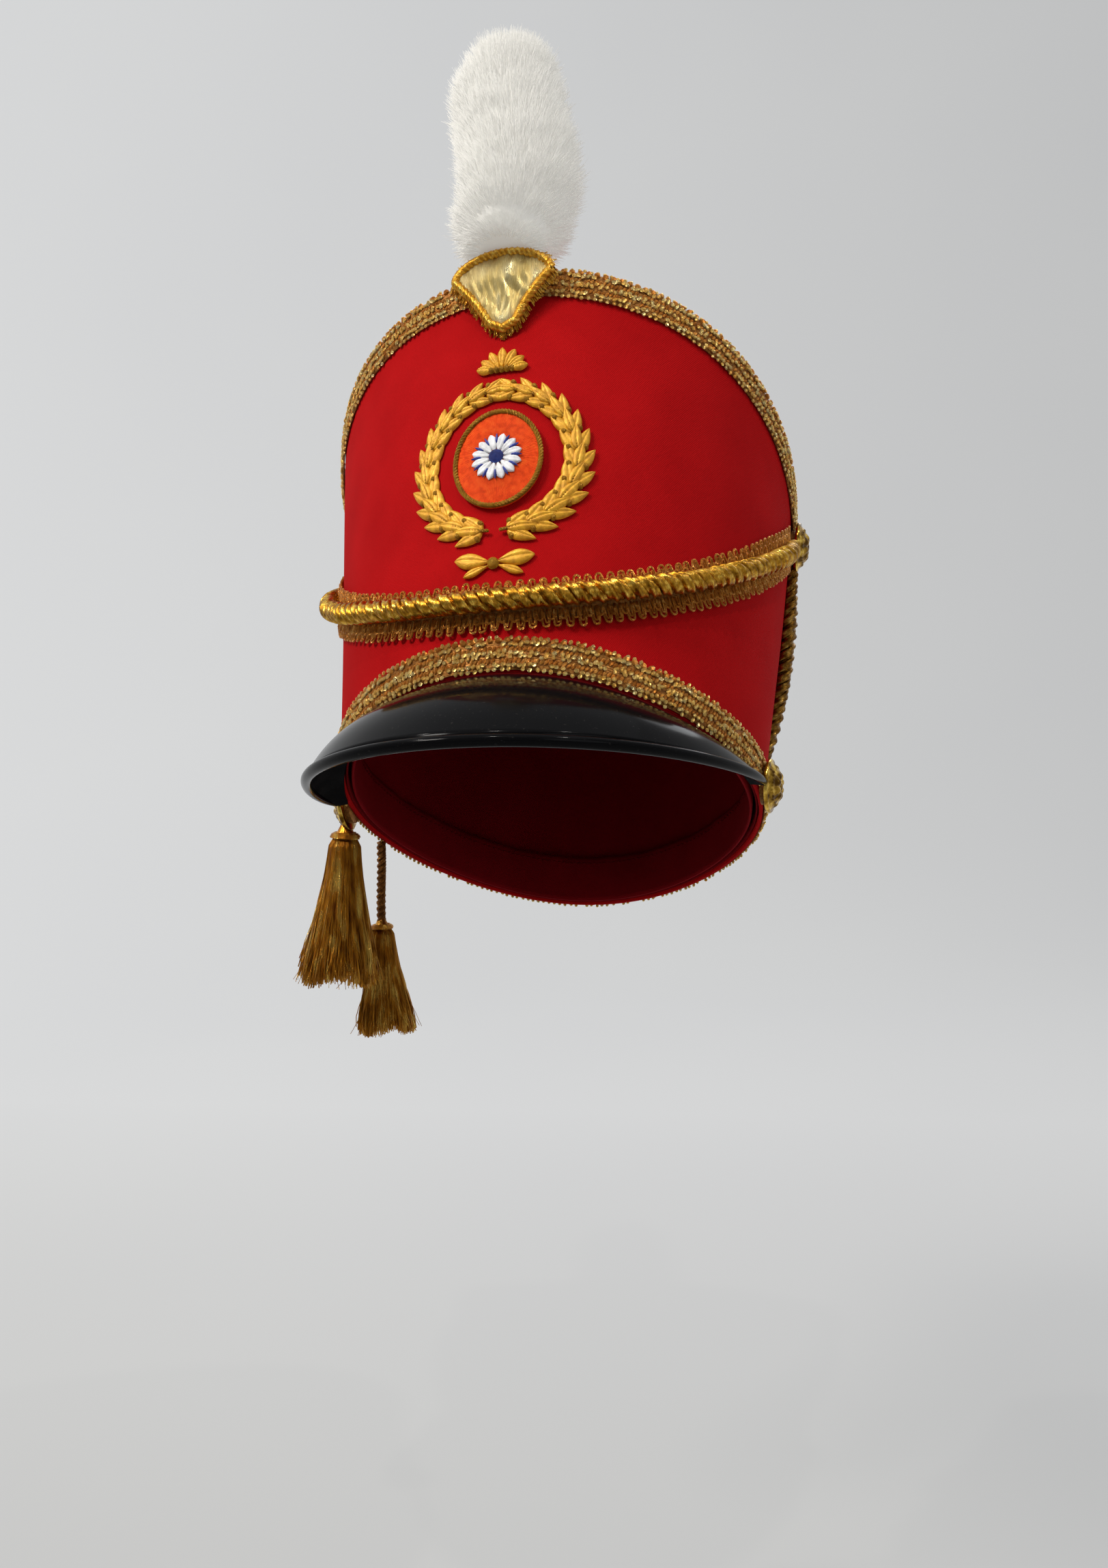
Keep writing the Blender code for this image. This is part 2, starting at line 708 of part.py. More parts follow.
def make_plume(material, parent):
    """A brush of down in shallow locks, fused to the flat stem that holds it."""
    stem_out = 2.0 * FIT_GAP + BRAID_THICKNESS + 0.5 * PLUME_STEM_THICKNESS
    base = wall_point(0.0, PLUME_BASE_HEIGHT, stem_out)
    tilt = Matrix.Rotation(PLUME_FORWARD_LEAN, 3, "X")

    def place(x, y, z):
        return base + tilt @ Vector((x, y, z))

    bm = bmesh.new()
    rings = []
    for share, breadth in PLUME_PROFILE:
        ring = []
        for angle in full_circle(PLUME_SIDES):
            lock = math.cos(PLUME_LOCK_COUNT * (angle + 1.3 * share))
            radius = 0.5 * PLUME_DIAMETER * breadth
            radius += 0.5 * PLUME_LOCK_DEPTH * lock * min(1.0, 2.0 * breadth - 0.4)
            wave = PLUME_WAVE * math.sin(2.0 * math.pi * share)
            ring.append(bm.verts.new(place(
                radius * math.cos(angle) + wave,
                radius * math.sin(angle),
                share * PLUME_LENGTH,
            )))
        rings.append(ring)
    for ring, following in zip(rings, rings[1:]):
        for i in range(PLUME_SIDES):
            j = (i + 1) % PLUME_SIDES
            bm.faces.new((ring[i], ring[j], following[j], following[i]))
    bm.faces.new(rings[0])
    bm.faces.new(rings[-1])
    body = add_object("plume", bm, material, parent, smooth_angle=60.0)

    stem_sections = []
    for height in spaced(PLUME_BASE_HEIGHT - PLUME_STEM_LENGTH, PLUME_BASE_HEIGHT + PLUME_STEM_OVERLAP, 5):
        half = 0.5 * PLUME_STEM_WIDTH / crown_half_width(height)
        near = stem_out - 0.5 * PLUME_STEM_THICKNESS
        far = stem_out + 0.5 * PLUME_STEM_THICKNESS
        stem_sections.append([
            wall_point(-half, height, near),
            wall_point(half, height, near),
            wall_point(half, height, far),
            wall_point(-half, height, far),
        ])
    stem = add_object("plume_stem_cutter", loft(stem_sections), material, parent)
    stem.hide_render = True
    stem.display_type = "WIRE"
    union = body.modifiers.new("stem", "BOOLEAN")
    union.operation = "UNION"
    union.solver = "EXACT"
    union.object = stem
    return body


def oval(angle, width, height):
    """A point of an oval on the front, as (across, height above its middle)."""
    return 0.5 * width * math.sin(angle), -0.5 * height * math.cos(angle)


def make_badge_wreath(material, parent):
    """A ring of leaves: its two outlines step from leaf tip to leaf tip."""
    sections = []
    steps = LEAF_COUNT * 4
    leaf = (0.30, 0.85, 1.00, 0.62)
    for i in range(steps):
        angle = 2.0 * math.pi * i / steps
        swell = leaf[i % 4]
        band = WREATH_BAND * (0.62 + 0.38 * swell)
        outer_x, outer_y = oval(angle, BADGE_WIDTH, BADGE_HEIGHT)
        length = math.hypot(outer_x, outer_y)
        middle = 1.0 - 0.5 * WREATH_BAND / length
        near = middle - 0.5 * band / length
        far = middle + 0.5 * band / length
        section = []
        for share, out in ((near, 0.0), (far, 0.0), (far, 0.5), (middle, 1.0), (near, 0.5)):
            height = BADGE_CENTRE_HEIGHT + share * outer_y
            section.append(wall_point(
                share * outer_x / crown_half_width(height),
                height,
                BADGE_SEAT + out * WREATH_THICKNESS,
            ))
        sections.append(section)
    return add_object("badge_wreath", loft(sections, closed_path=True), material, parent)


def make_badge_medallion(material, parent):
    outline = []
    for angle in full_circle(28):
        across, rise = oval(angle, MEDALLION_WIDTH, MEDALLION_HEIGHT)
        outline.append((across, BADGE_CENTRE_HEIGHT + rise))
    bm = wall_patch(outline, BADGE_SEAT, BADGE_SEAT + 0.6 * MEDALLION_THICKNESS,
                    0.4 * MEDALLION_THICKNESS)
    return add_object("badge_medallion", bm, material, parent)


def make_badge_rosette(material, parent):
    outline = []
    for i, angle in enumerate(full_circle(24)):
        reach = 0.5 * ROSETTE_DIAMETER * (1.0 if i % 3 else 0.82)
        outline.append((
            reach * math.sin(angle),
            BADGE_CENTRE_HEIGHT - reach * math.cos(angle),
        ))
    back = BADGE_SEAT + FIT_GAP + MEDALLION_THICKNESS
    bm = wall_patch(outline, back, back + 0.6 * ROSETTE_THICKNESS, 0.4 * ROSETTE_THICKNESS)
    return add_object("badge_rosette", bm, material, parent)


def make_badge_crest(material, parent):
    """A small palmette above the wreath, with five rounded leaves."""
    foot = BADGE_CENTRE_HEIGHT + 0.5 * BADGE_HEIGHT + FIT_GAP + 0.0005
    outline = [(-0.22 * CREST_WIDTH, foot), (0.22 * CREST_WIDTH, foot)]
    for i in range(21):
        angle = math.pi * i / 20
        lobe = 0.80 + 0.20 * abs(math.sin(2.5 * angle))
        outline.append((
            0.5 * CREST_WIDTH * lobe * math.cos(angle),
            foot + 0.25 * CREST_HEIGHT + 0.75 * CREST_HEIGHT * lobe * math.sin(angle),
        ))
    bm = wall_patch(outline, BADGE_SEAT, BADGE_SEAT + 0.7 * WREATH_THICKNESS,
                    0.3 * WREATH_THICKNESS)
    return add_object("badge_crest", bm, material, parent)


def make_badge_bow(material, parent):
    """A flat ribbon bow below the wreath: two loops and a knot between them."""
    middle = BADGE_CENTRE_HEIGHT - 0.5 * BADGE_HEIGHT - FIT_GAP - 0.55 * BOW_HEIGHT
    outline = []
    for i, angle in enumerate(full_circle(28)):
        across = 0.5 * BOW_WIDTH * math.sin(angle)
        pinch = 0.34 + 0.66 * min(1.0, 2.2 * abs(math.sin(angle)))
        flat = math.copysign(abs(math.cos(angle)) ** 0.5, math.cos(angle))
        outline.append((across, middle - 0.5 * BOW_HEIGHT * pinch * flat))
    bm = wall_patch(outline, BADGE_SEAT, BADGE_SEAT + 0.7 * WREATH_THICKNESS,
                    0.3 * WREATH_THICKNESS)
    return add_object("badge_bow", bm, material, parent)


def make_tassel(name, top, length, diameter, sway, material):
    """A bound head and a skirt of bullion in shallow locks, hanging from its top."""
    swing = Matrix.Rotation(sway, 3, "Y")
    start = Vector(top)
    bm = bmesh.new()
    rings = []
    for share, breadth in TASSEL_PROFILE:
        ring = []
        for angle in full_circle(TASSEL_SIDES):
            radius = 0.5 * diameter * breadth
            if share > TASSEL_PROFILE[4][0]:
                radius += 0.5 * TASSEL_LOCK_DEPTH * math.cos(TASSEL_LOCK_COUNT * angle)
            offset = Vector((
                radius * math.cos(angle),
                radius * math.sin(angle),
                -share * length,
            ))
            ring.append(bm.verts.new(start + swing @ offset))
        rings.append(ring)
    for ring, following in zip(rings, rings[1:]):
        for i in range(TASSEL_SIDES):
            j = (i + 1) % TASSEL_SIDES
            bm.faces.new((ring[i], ring[j], following[j], following[i]))
    bm.faces.new(rings[0])
    bm.faces.new(rings[-1])
    return add_object(name, bm, material, smooth_angle=50.0)


def rear_cord_route():
    """The cord hangs from the rim, behind the lower button, down to its tassel."""
    rim = rim_height(REAR_CORD_ANGLE) - REAR_CORD_DROP
    start = to_world(wall_point(REAR_CORD_ANGLE, rim))
    end = Vector(REAR_TASSEL_TOP) + Vector((0.0, 0.0, FIT_GAP))
    route = []
    for share in spaced(0.0, 1.0, REAR_CORD_POINTS):
        sideways = 0.5 - 0.5 * math.cos(math.pi * share)
        route.append(Vector((
            start.x + (end.x - start.x) * sideways,
            start.y + (end.y - start.y) * sideways,
            start.z + (end.z - start.z) * share,
        )))
    return route


def make_tassel_cord(name, points, material):
    curve = bpy.data.curves.new(name, "CURVE")
    curve.dimensions = "3D"
    curve.bevel_depth = 0.5 * TASSEL_CORD_DIAMETER
    curve.bevel_resolution = 2
    curve.use_fill_caps = True
    spline = curve.splines.new("POLY")
    spline.points.add(len(points) - 1)
    for target, point in zip(spline.points, points):
        target.co = (point.x, point.y, point.z, 1.0)
    curve.materials.append(material)
    item = bpy.data.objects.new(name, curve)
    bpy.context.scene.collection.objects.link(item)
    return item


def build():
    clear_scene()
    red_cloth = make_material("red_cloth", RED_CLOTH, 0.85, 0.0)
    gold_thread = make_material("gold_thread", GOLD_THREAD, 0.35, 0.85)
    gold_metal = make_material("gold_metal", GOLD_METAL, 0.25, 1.0)
    black_gloss = make_material("black_gloss", BLACK_GLOSS, 0.12, 0.0)
    pale_gold = make_material("pale_gold", PALE_GOLD, 0.35, 0.6)
    white_feather = make_material("white_feather", WHITE_FEATHER, 0.9, 0.0)
    orange_thread = make_material("orange_thread", ORANGE_THREAD, 0.6, 0.0)
    white_thread = make_material("white_thread", WHITE_THREAD, 0.6, 0.0)

    lean = make_lean()
    make_crown_wall(red_cloth, lean)
    make_crown_top(red_cloth, lean)
    make_top_braid(gold_thread, lean)
    make_rim_braid(gold_thread, lean)
    make_front_gimp(gold_thread, lean)
    make_front_cord(gold_thread, lean)
    make_back_cord(gold_thread, lean)
    for side_name, side in (("left", 1.0), ("right", -1.0)):
        make_button("button_upper_" + side_name, side * UPPER_BUTTON_ANGLE,
                    UPPER_BUTTON_HEIGHT, gold_metal, lean)
        make_button("button_lower_" + side_name, side * LOWER_BUTTON_ANGLE,
                    LOWER_BUTTON_HEIGHT, gold_metal, lean)
    make_peak(black_gloss, lean)
    make_cockade(pale_gold, lean)
    make_cockade_cord(gold_thread, lean)
    make_plume(white_feather, lean)
    make_badge_wreath(gold_thread, lean)
    make_badge_medallion(orange_thread, lean)
    make_badge_rosette(white_thread, lean)
    make_badge_crest(gold_thread, lean)
    make_badge_bow(gold_thread, lean)
    make_tassel("tassel_front", FRONT_TASSEL_TOP, FRONT_TASSEL_LENGTH, FRONT_TASSEL_DIAMETER,
                FRONT_TASSEL_SWAY, gold_thread)
    make_tassel("tassel_rear", REAR_TASSEL_TOP, REAR_TASSEL_LENGTH, REAR_TASSEL_DIAMETER, 0.0,
                gold_thread)
    make_tassel_cord("tassel_cord_rear", rear_cord_route(), gold_thread)


build()
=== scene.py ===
"""The looks of the parade shako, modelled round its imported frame.

Metres. Shapes on the cap are made in the cap's own upright frame, in which angles
start at the front and grow towards +X, and `lean` turns them to the worn attitude.
"""
import math

import bpy
import numpy as np
from mathutils import Matrix, Vector


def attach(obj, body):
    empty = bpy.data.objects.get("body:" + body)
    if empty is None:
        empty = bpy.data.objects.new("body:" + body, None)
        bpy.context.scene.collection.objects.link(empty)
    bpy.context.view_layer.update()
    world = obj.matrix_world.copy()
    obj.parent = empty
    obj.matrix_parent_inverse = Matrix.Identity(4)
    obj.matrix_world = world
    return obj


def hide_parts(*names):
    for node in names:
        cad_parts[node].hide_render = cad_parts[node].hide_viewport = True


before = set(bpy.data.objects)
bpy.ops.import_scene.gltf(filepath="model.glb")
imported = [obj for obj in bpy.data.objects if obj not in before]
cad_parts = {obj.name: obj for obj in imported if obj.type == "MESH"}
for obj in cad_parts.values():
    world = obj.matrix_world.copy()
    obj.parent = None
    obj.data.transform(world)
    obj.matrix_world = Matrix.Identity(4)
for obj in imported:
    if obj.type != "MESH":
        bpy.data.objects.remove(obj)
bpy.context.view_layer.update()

TAU = 2.0 * math.pi

# The photo's camera, fitted to the cap's edges
CAMERA_LENS = 27.05
CAMERA_SENSOR = 36.0
CAMERA_PLACE = (0.1308, -0.5039, 0.0110)
CAMERA_FORWARD = (-0.2483, 0.9687, 0.0014)
CAMERA_UP = (0.0497, 0.0113, 0.9987)

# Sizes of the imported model
WORN_LEAN = math.radians(24.0)
RIM_HALF_WIDTH = 0.092
DEPTH_SHARE = 0.0961 / 0.092
CROWN_FLARE = 0.110
TOP_EDGE = (0.1939, 0.1536, 0.1130, 0.0017)
RIM_EDGE = (0.0160, 0.0, -0.0134, -0.0018)
WALL_THICKNESS = 0.0022
TOP_INSET = 0.0050
TOP_THICKNESS = 0.0020
FIT_GAP = 0.0003
BRAID_WIDTH = 0.0130
BRAID_THICKNESS = 0.0018
DRAPE_FRONT = 0.0419
DRAPE_SIDE = 0.1266
DRAPE_SHOULDER = 0.0036
GIMP_WIDTH = 0.0205
GIMP_THICKNESS = 0.0010
GIMP_LOOP_PITCH = 0.0045
CORD_DIAMETER = 0.0090
CORD_LAY_LENGTH = 0.0165
BACK_CORD_ANGLE = math.radians(96.0)
BACK_CORD_LOW = RIM_EDGE[2] + 0.0225
BACK_CORD_FULLNESS = 3.5
BUTTON_DIAMETER = 0.0230
BUTTON_THICKNESS = 0.0070
UPPER_BUTTON_ANGLE = math.radians(94.0)
LOWER_BUTTON_ANGLE = math.radians(86.5)
UPPER_BUTTON_HEIGHT = TOP_EDGE[1] - 0.0221
LOWER_BUTTON_HEIGHT = 0.0045
BUTTON_CLEARANCE = 0.0016
PEAK_HALF_WIDTH = 0.0950
PEAK_REACH = 0.1150
PEAK_CENTRE_BACK = -0.0200
PEAK_EDGE_HEIGHT = -0.0005
PEAK_EDGE_SLOPE = 0.259
PEAK_EDGE_POINT = 1.14
PEAK_THICKNESS = 0.0020
PEAK_BEAD_DIAMETER = 0.0046
PEAK_CROWN = 0.0050
PEAK_END_ANGLE = math.radians(78.0)
COCKADE_WIDTH = 0.0410
COCKADE_HEIGHT = 0.0344
COCKADE_TIP_HEIGHT = TOP_EDGE[0] - 0.0296
COCKADE_THICKNESS = 0.0032
COCKADE_LEAN = 0.0048
PLUME_DIAMETER = 0.0590
PLUME_BASE_HEIGHT = TOP_EDGE[0] + 0.0106
PLUME_LENGTH = 0.1250
PLUME_FORWARD_LEAN = math.radians(2.0)
PLUME_STEM_WIDTH = 0.0080
PLUME_STEM_THICKNESS = 0.0016
PLUME_STEM_LENGTH = 0.0165
BADGE_SEAT = 0.0008
BADGE_CENTRE_HEIGHT = 0.1055
BADGE_WIDTH = 0.0800
BADGE_HEIGHT = 0.0800
WREATH_BAND = 0.0170
WREATH_THICKNESS = 0.0022
MEDALLION_WIDTH = 0.0360
MEDALLION_HEIGHT = 0.0430
MEDALLION_THICKNESS = 0.0028
ROSETTE_DIAMETER = 0.0210
CREST_HEIGHT = 0.0115
BOW_HEIGHT = 0.0095
FRONT_TASSEL = ((-0.0976, -0.0030, -0.0052), 0.0688, 0.0345, math.radians(6.0))
REAR_TASSEL = ((-0.0926, 0.0217, -0.0508), 0.0510, 0.0270, 0.0)
TASSEL_CORD_DIAMETER = 0.0045
REAR_CORD_ANGLE = math.radians(-103.0)
REAR_CORD_DROP = 0.0016

# Strands and threads, which the scene alone has
STRAND_FULLNESS = 1.02
STRAND_TWIST = 0.35
BACK_CORD_END_RISE = 0.0060
FRINGE_THREADS = 420
FRINGE_THREAD_RADIUS = 0.00024
PLUME_CORE_DEPTH = 0.0085
DOWN_ROOT_DEPTH = 0.0065
DOWN_LENGTHS = (0.0060, 0.0095)
TASSEL_THREADS = 1500
TASSEL_STRAYS = 34
TASSEL_PROFILE = (
    (0.000, 0.20),
    (0.020, 0.34),
    (0.060, 0.41),
    (0.120, 0.44),
    (0.200, 0.47),
    (0.300, 0.52),
    (0.420, 0.60),
    (0.650, 0.77),
    (0.860, 0.94),
    (1.000, 1.00),
)
PLUME_PROFILE = (
    (0.000, 0.66),
    (0.035, 0.86),
    (0.150, 0.95),
    (0.330, 0.98),
    (0.520, 1.00),
    (0.700, 0.98),
    (0.850, 0.86),
    (0.950, 0.60),
    (1.000, 0.28),
)


def half_width(z):
    return RIM_HALF_WIDTH + CROWN_FLARE * z


def wall(angle, z, out=0.0):
    """Points on the crown, `out` beyond its outer face. Arrays broadcast."""
    angle, z, out = np.broadcast_arrays(angle, z, out)
    across = (half_width(z) + out) * np.sin(angle)
    along = -(half_width(z) * DEPTH_SHARE + out) * np.cos(angle)
    return np.stack([across, along, z], axis=-1)


def unit(vectors):
    return vectors / np.maximum(np.linalg.norm(vectors, axis=-1, keepdims=True), 1e-12)


def square_to(vectors, axis):
    """Unit vectors of what is left of `vectors` at right angles to `axis`."""
    return unit(vectors - axis * np.sum(vectors * axis, axis=-1, keepdims=True))


def even_turn(count):
    return TAU * np.arange(count) / count


def outward(angle):
    """Level unit vectors at these angles."""
    return np.stack([np.cos(angle), np.sin(angle), 0.0 * angle], axis=-1)


def wall_normal(angle, z):
    step = 0.001
    around = wall(angle + step, z) - wall(angle - step, z)
    upward = wall(angle, z + step) - wall(angle, z - step)
    return unit(np.cross(around, upward))


def press(points, out):
    """Moves points near the crown to `out` beyond its outer face."""
    z = points[..., 2]
    angle = np.arctan2(points[..., 0], -points[..., 1] / DEPTH_SHARE)
    return wall(angle, z, out)


def edge_height(edge, angle):
    front, side, back, shoulder = edge
    tilt = 0.5 * (front - back) * np.cos(angle)
    dish = (0.5 * (front + back) - side) * np.cos(angle) ** 2
    return side + tilt + dish + shoulder * (np.cos(angle) - np.cos(3.0 * angle))


def drape_height(angle):
    fall = (DRAPE_SIDE - DRAPE_FRONT) * np.cos(angle)
    return DRAPE_SIDE - fall - DRAPE_SHOULDER * (np.cos(angle) - np.cos(3.0 * angle))


def lean(points):
    """From the cap's upright frame to the row frame."""
    c, s = math.cos(WORN_LEAN), math.sin(WORN_LEAN)
    x, y, z = points[..., 0], points[..., 1], points[..., 2]
    return np.stack([x, c * y + s * z, -s * y + c * z], axis=-1)


def profile_at(profile, share):
    shares, values = np.array(profile).T
    return np.interp(share, shares, values)


class Shape:
    """Grids of points gathered into one mesh, with UVs in metres or turns."""

    def __init__(self):
        self.points = []
        self.faces = []
        self.uvs = []
        self.total = 0

    def grids(self, points, u=None, v=None, wrap_rows=False, wrap_columns=False,
              cap_start=False, cap_end=False):
        """`points` is (grids, rows, columns, 3), its faces outward where columns turn
        to the left round the rows' direction."""
        if points.ndim == 3:
            points = points[None]
        count, rows, columns, _ = points.shape
        i, j = np.meshgrid(
            np.arange(rows if wrap_rows else rows - 1),
            np.arange(columns if wrap_columns else columns - 1),
            indexing="ij",
        )
        after_i, after_j = (i + 1) % rows, (j + 1) % columns
        quad = np.stack([
            i * columns + j, i * columns + after_j,
            after_i * columns + after_j, after_i * columns + j,
        ], axis=-1).reshape(-1, 4)
        starts = self.total + np.arange(count) * rows * columns
        self.faces.append((quad[None] + starts[:, None, None]).reshape(-1, 4))
        u = np.linspace(0.0, 1.0, rows + wrap_rows) if u is None else np.asarray(u, float)
        v = np.linspace(0.0, 1.0, columns + wrap_columns) if v is None else np.asarray(v, float)
        corner_u = np.stack([u[i], u[i], u[i + 1], u[i + 1]], axis=-1)
        corner_v = np.stack([v[j], v[j + 1], v[j + 1], v[j]], axis=-1)
        corners = np.stack([corner_u, corner_v], axis=-1).reshape(-1, 2)
        self.uvs.append(np.tile(corners, (count, 1)))
        ring = np.arange(columns)
        for wanted, order, u_here in (
            (cap_start, ring[::-1], u[0]),
            (cap_end, (rows - 1) * columns + ring, u[-1]),
        ):
            if wanted:
                self.faces.append(order[None] + starts[:, None])
                flat = np.stack([np.full(columns, u_here), np.full(columns, v[0])], axis=-1)
                self.uvs.append(np.tile(flat, (count, 1)))
        self.points.append(points.reshape(-1, 3))
        self.total += count * rows * columns

    def tubes(self, points, **uv):
        """Grids closed round and capped at both ends."""
        self.grids(points, wrap_columns=True, cap_start=True, cap_end=True, **uv)

    def make(self, name, material, leaned=True, smooth=True):
        points = np.concatenate(self.points)
        if leaned:
            points = lean(points)
        sizes = np.concatenate([np.full(len(f), f.shape[1]) for f in self.faces])
        corners = np.concatenate([f.reshape(-1) for f in self.faces])
        mesh = bpy.data.meshes.new(name)
        mesh.vertices.add(len(points))
        mesh.vertices.foreach_set("co", points.astype(np.float32).reshape(-1))
        mesh.loops.add(len(corners))
        mesh.loops.foreach_set("vertex_index", corners.astype(np.int32))
        mesh.polygons.add(len(sizes))
        starts = np.concatenate([[0], np.cumsum(sizes)[:-1]])
        mesh.polygons.foreach_set("loop_start", starts.astype(np.int32))
        mesh.polygons.foreach_set("loop_total", sizes.astype(np.int32))
        layer = mesh.uv_layers.new(name="UVMap")
        uvs = np.concatenate(self.uvs).astype(np.float32)
        layer.data.foreach_set("uv", uvs.reshape(-1))
        mesh.update(calc_edges=True)
        mesh.validate()
        mesh.polygons.foreach_set("use_smooth", np.full(len(mesh.polygons), smooth))
        mesh.materials.append(material)
        item = bpy.data.objects.new(name, mesh)
        bpy.context.scene.collection.objects.link(item)
        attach(item, "root")
        return item


def tube_points(paths, radius, sides, outwards, twist=0.0, lobes=0, lobe_depth=0.0):
    """Rings round paths (..., rows, 3): (..., rows, sides, 3)."""
    tangent = unit(np.gradient(paths, axis=-2))
    normal = square_to(outwards, tangent)
    across = np.cross(tangent, normal)
    turn = even_turn(sides)
    swell = 1.0 + lobe_depth * np.cos(lobes * turn)
    angle = turn + np.asarray(twist)[..., None]
    reach = np.asarray(radius)[..., None] * swell
    reach = np.broadcast_to(reach, paths.shape[:-1] + (sides,))[..., None]
    angle = np.broadcast_to(angle, paths.shape[:-1] + (sides,))[..., None]
    ring = np.cos(angle) * normal[..., None, :] + np.sin(angle) * across[..., None, :]
    return paths[..., None, :] + reach * ring


def run_length(path):
    steps = np.linalg.norm(np.diff(path, axis=0), axis=1)
    return np.concatenate([[0.0], np.cumsum(steps)])


def along_run(at, run, line):
    """The points at these distances along a line."""
    return np.stack([np.interp(at, run, column) for column in line.T], axis=-1)


def resample(path, outwards, step):
    """The path and its outward directions at even steps of about `step`."""
    run = run_length(path)
    count = max(3, int(round(run[-1] / step)) + 1)
    at = np.linspace(0.0, run[-1], count)
    return along_run(at, run, path), unit(along_run(at, run, outwards)), at


def add_laid_cord(shape, path, outwards, diameter, lay, strands=3, step=0.0007,
                  sides=24, plies=4, ply_depth=0.17, closed=False, swell=None):
    """A cord of strands laid right-handed, each of several plies that run along it."""
    path, outwards, at = resample(path, outwards, step)
    tangent = unit(np.gradient(path, axis=0))
    normal = square_to(outwards, tangent)
    across = np.cross(tangent, normal)
    strand_radius = 0.5 * diameter / (1.0 + 2.0 / math.sqrt(3.0)) * STRAND_FULLNESS
    offset = 0.5 * diameter - strand_radius
    turns = at / lay
    size = np.ones(len(at)) if swell is None else swell(at / at[-1])
    if closed:
        turns = turns * round(turns[-1]) / turns[-1]
    for k in range(strands):
        angle = TAU * (turns + k / strands)
        around = np.cos(angle)[:, None] * normal + np.sin(angle)[:, None] * across
        centre = path + offset * size[:, None] * around
        rings = tube_points(centre, strand_radius * size, sides, around, twist=STRAND_TWIST * angle,
                            lobes=plies, lobe_depth=ply_depth)
        shape.grids(rings, u=at, v=np.linspace(0.0, 1.0, sides + 1), wrap_columns=True,
                    cap_start=not closed, cap_end=not closed)


# Materials


class Finish:
    """A procedural material, its shader's constants set on their own sockets."""

    def __init__(self, name, colour, roughness, metallic=0.0, **settings):
        self.material = bpy.data.materials.new(name)
        self.material.use_nodes = True
        self.nodes = self.material.node_tree.nodes
        self.links = self.material.node_tree.links
        self.shader = self.nodes["Principled BSDF"]
        self.shader.inputs["Base Color"].default_value = (*colour, 1.0)
        self.shader.inputs["Roughness"].default_value = roughness
        self.shader.inputs["Metallic"].default_value = metallic
        for key, value in settings.items():
            self.shader.inputs[key.replace("_", " ")].default_value = value
        self.bump_height = None

    def node(self, kind, **inputs):
        made = self.nodes.new(kind)
        for key, value in inputs.items():
            self.feed(made.inputs[key.replace("_", " ")], value)
        return made

    def feed(self, socket, value):
        if isinstance(value, bpy.types.NodeSocket):
            self.links.new(value, socket)
        else:
            socket.default_value = value

    def place(self, source="Object", scale=(1.0, 1.0, 1.0), rotation=(0.0, 0.0, 0.0)):
        coordinates = self.nodes.new("ShaderNodeTexCoord")
        return self.node("ShaderNodeMapping", Vector=coordinates.outputs[source],
                         Scale=scale, Rotation=rotation).outputs["Vector"]

    def noise(self, scale, detail=2.0, source="Object", stretch=(1.0, 1.0, 1.0)):
        made = self.node("ShaderNodeTexNoise", Vector=self.place(source, stretch),
                         Scale=scale, Detail=detail)
        return made.outputs["Fac"]

    def waves(self, scale, source="UV", rotation=0.0, stretch=(1.0, 1.0, 1.0), warp=0.0):
        where = self.place(source, stretch, (0.0, 0.0, rotation))
        made = self.node("ShaderNodeTexWave", Vector=where, Scale=scale, Distortion=warp)
        return made.outputs["Fac"]

    def maths(self, kind, a, b):
        made = self.nodes.new("ShaderNodeMath")
        made.operation = kind
        self.feed(made.inputs[0], a)
        self.feed(made.inputs[1], b)
        return made.outputs[0]

    def spread(self, value, low, high, start=0.3, end=0.7):
        made = self.node("ShaderNodeMapRange", Value=value)
        made.inputs["From Min"].default_value = start
        made.inputs["From Max"].default_value = end
        made.inputs["To Min"].default_value = low
        made.inputs["To Max"].default_value = high
        return made.outputs["Result"]

    def paint(self, value, stops):
        """Colours the surface by a value: stops are (position, colour)."""
        ramp = self.nodes.new("ShaderNodeValToRGB")
        elements = ramp.color_ramp.elements
        while len(elements) < len(stops):
            elements.new(0.5)
        for element, (position, colour) in zip(elements, stops):
            element.position = position
            element.color = (*colour, 1.0)
        self.feed(ramp.inputs["Fac"], value)
        self.links.new(ramp.outputs["Color"], self.shader.inputs["Base Color"])

    def rough(self, value, low, high):
        self.links.new(self.spread(value, low, high), self.shader.inputs["Roughness"])

    def bump(self, height, depth, strength=1.0):
        made = self.node("ShaderNodeBump", Height=height, Strength=strength, Distance=depth)
        self.links.new(made.outputs["Normal"], self.shader.inputs["Normal"])


def thread_finish(name, dark, middle, light, roughness, metallic, line_scale,
                  colour_scale=420.0, depth=0.00012, stretch=(1.0, 1.0, 1.0), grain=0.7,
                  **settings):
    """Spun or drawn thread: fine lines along it and thread-to-thread colour."""
    finish = Finish(name, middle, roughness, metallic, **settings)
    speckle = finish.noise(colour_scale, 3.0, stretch=stretch)
    finish.paint(speckle, ((0.30, dark), (0.50, middle), (0.72, light)))
    finish.rough(speckle, roughness + 0.10, roughness - 0.06)
    lines = finish.waves(line_scale, rotation=math.radians(90.0), warp=1.2)
    fine = finish.noise(2600.0, 2.0)
    finish.bump(finish.maths("ADD", lines, finish.maths("MULTIPLY", fine, grain)), depth)
    return finish.material


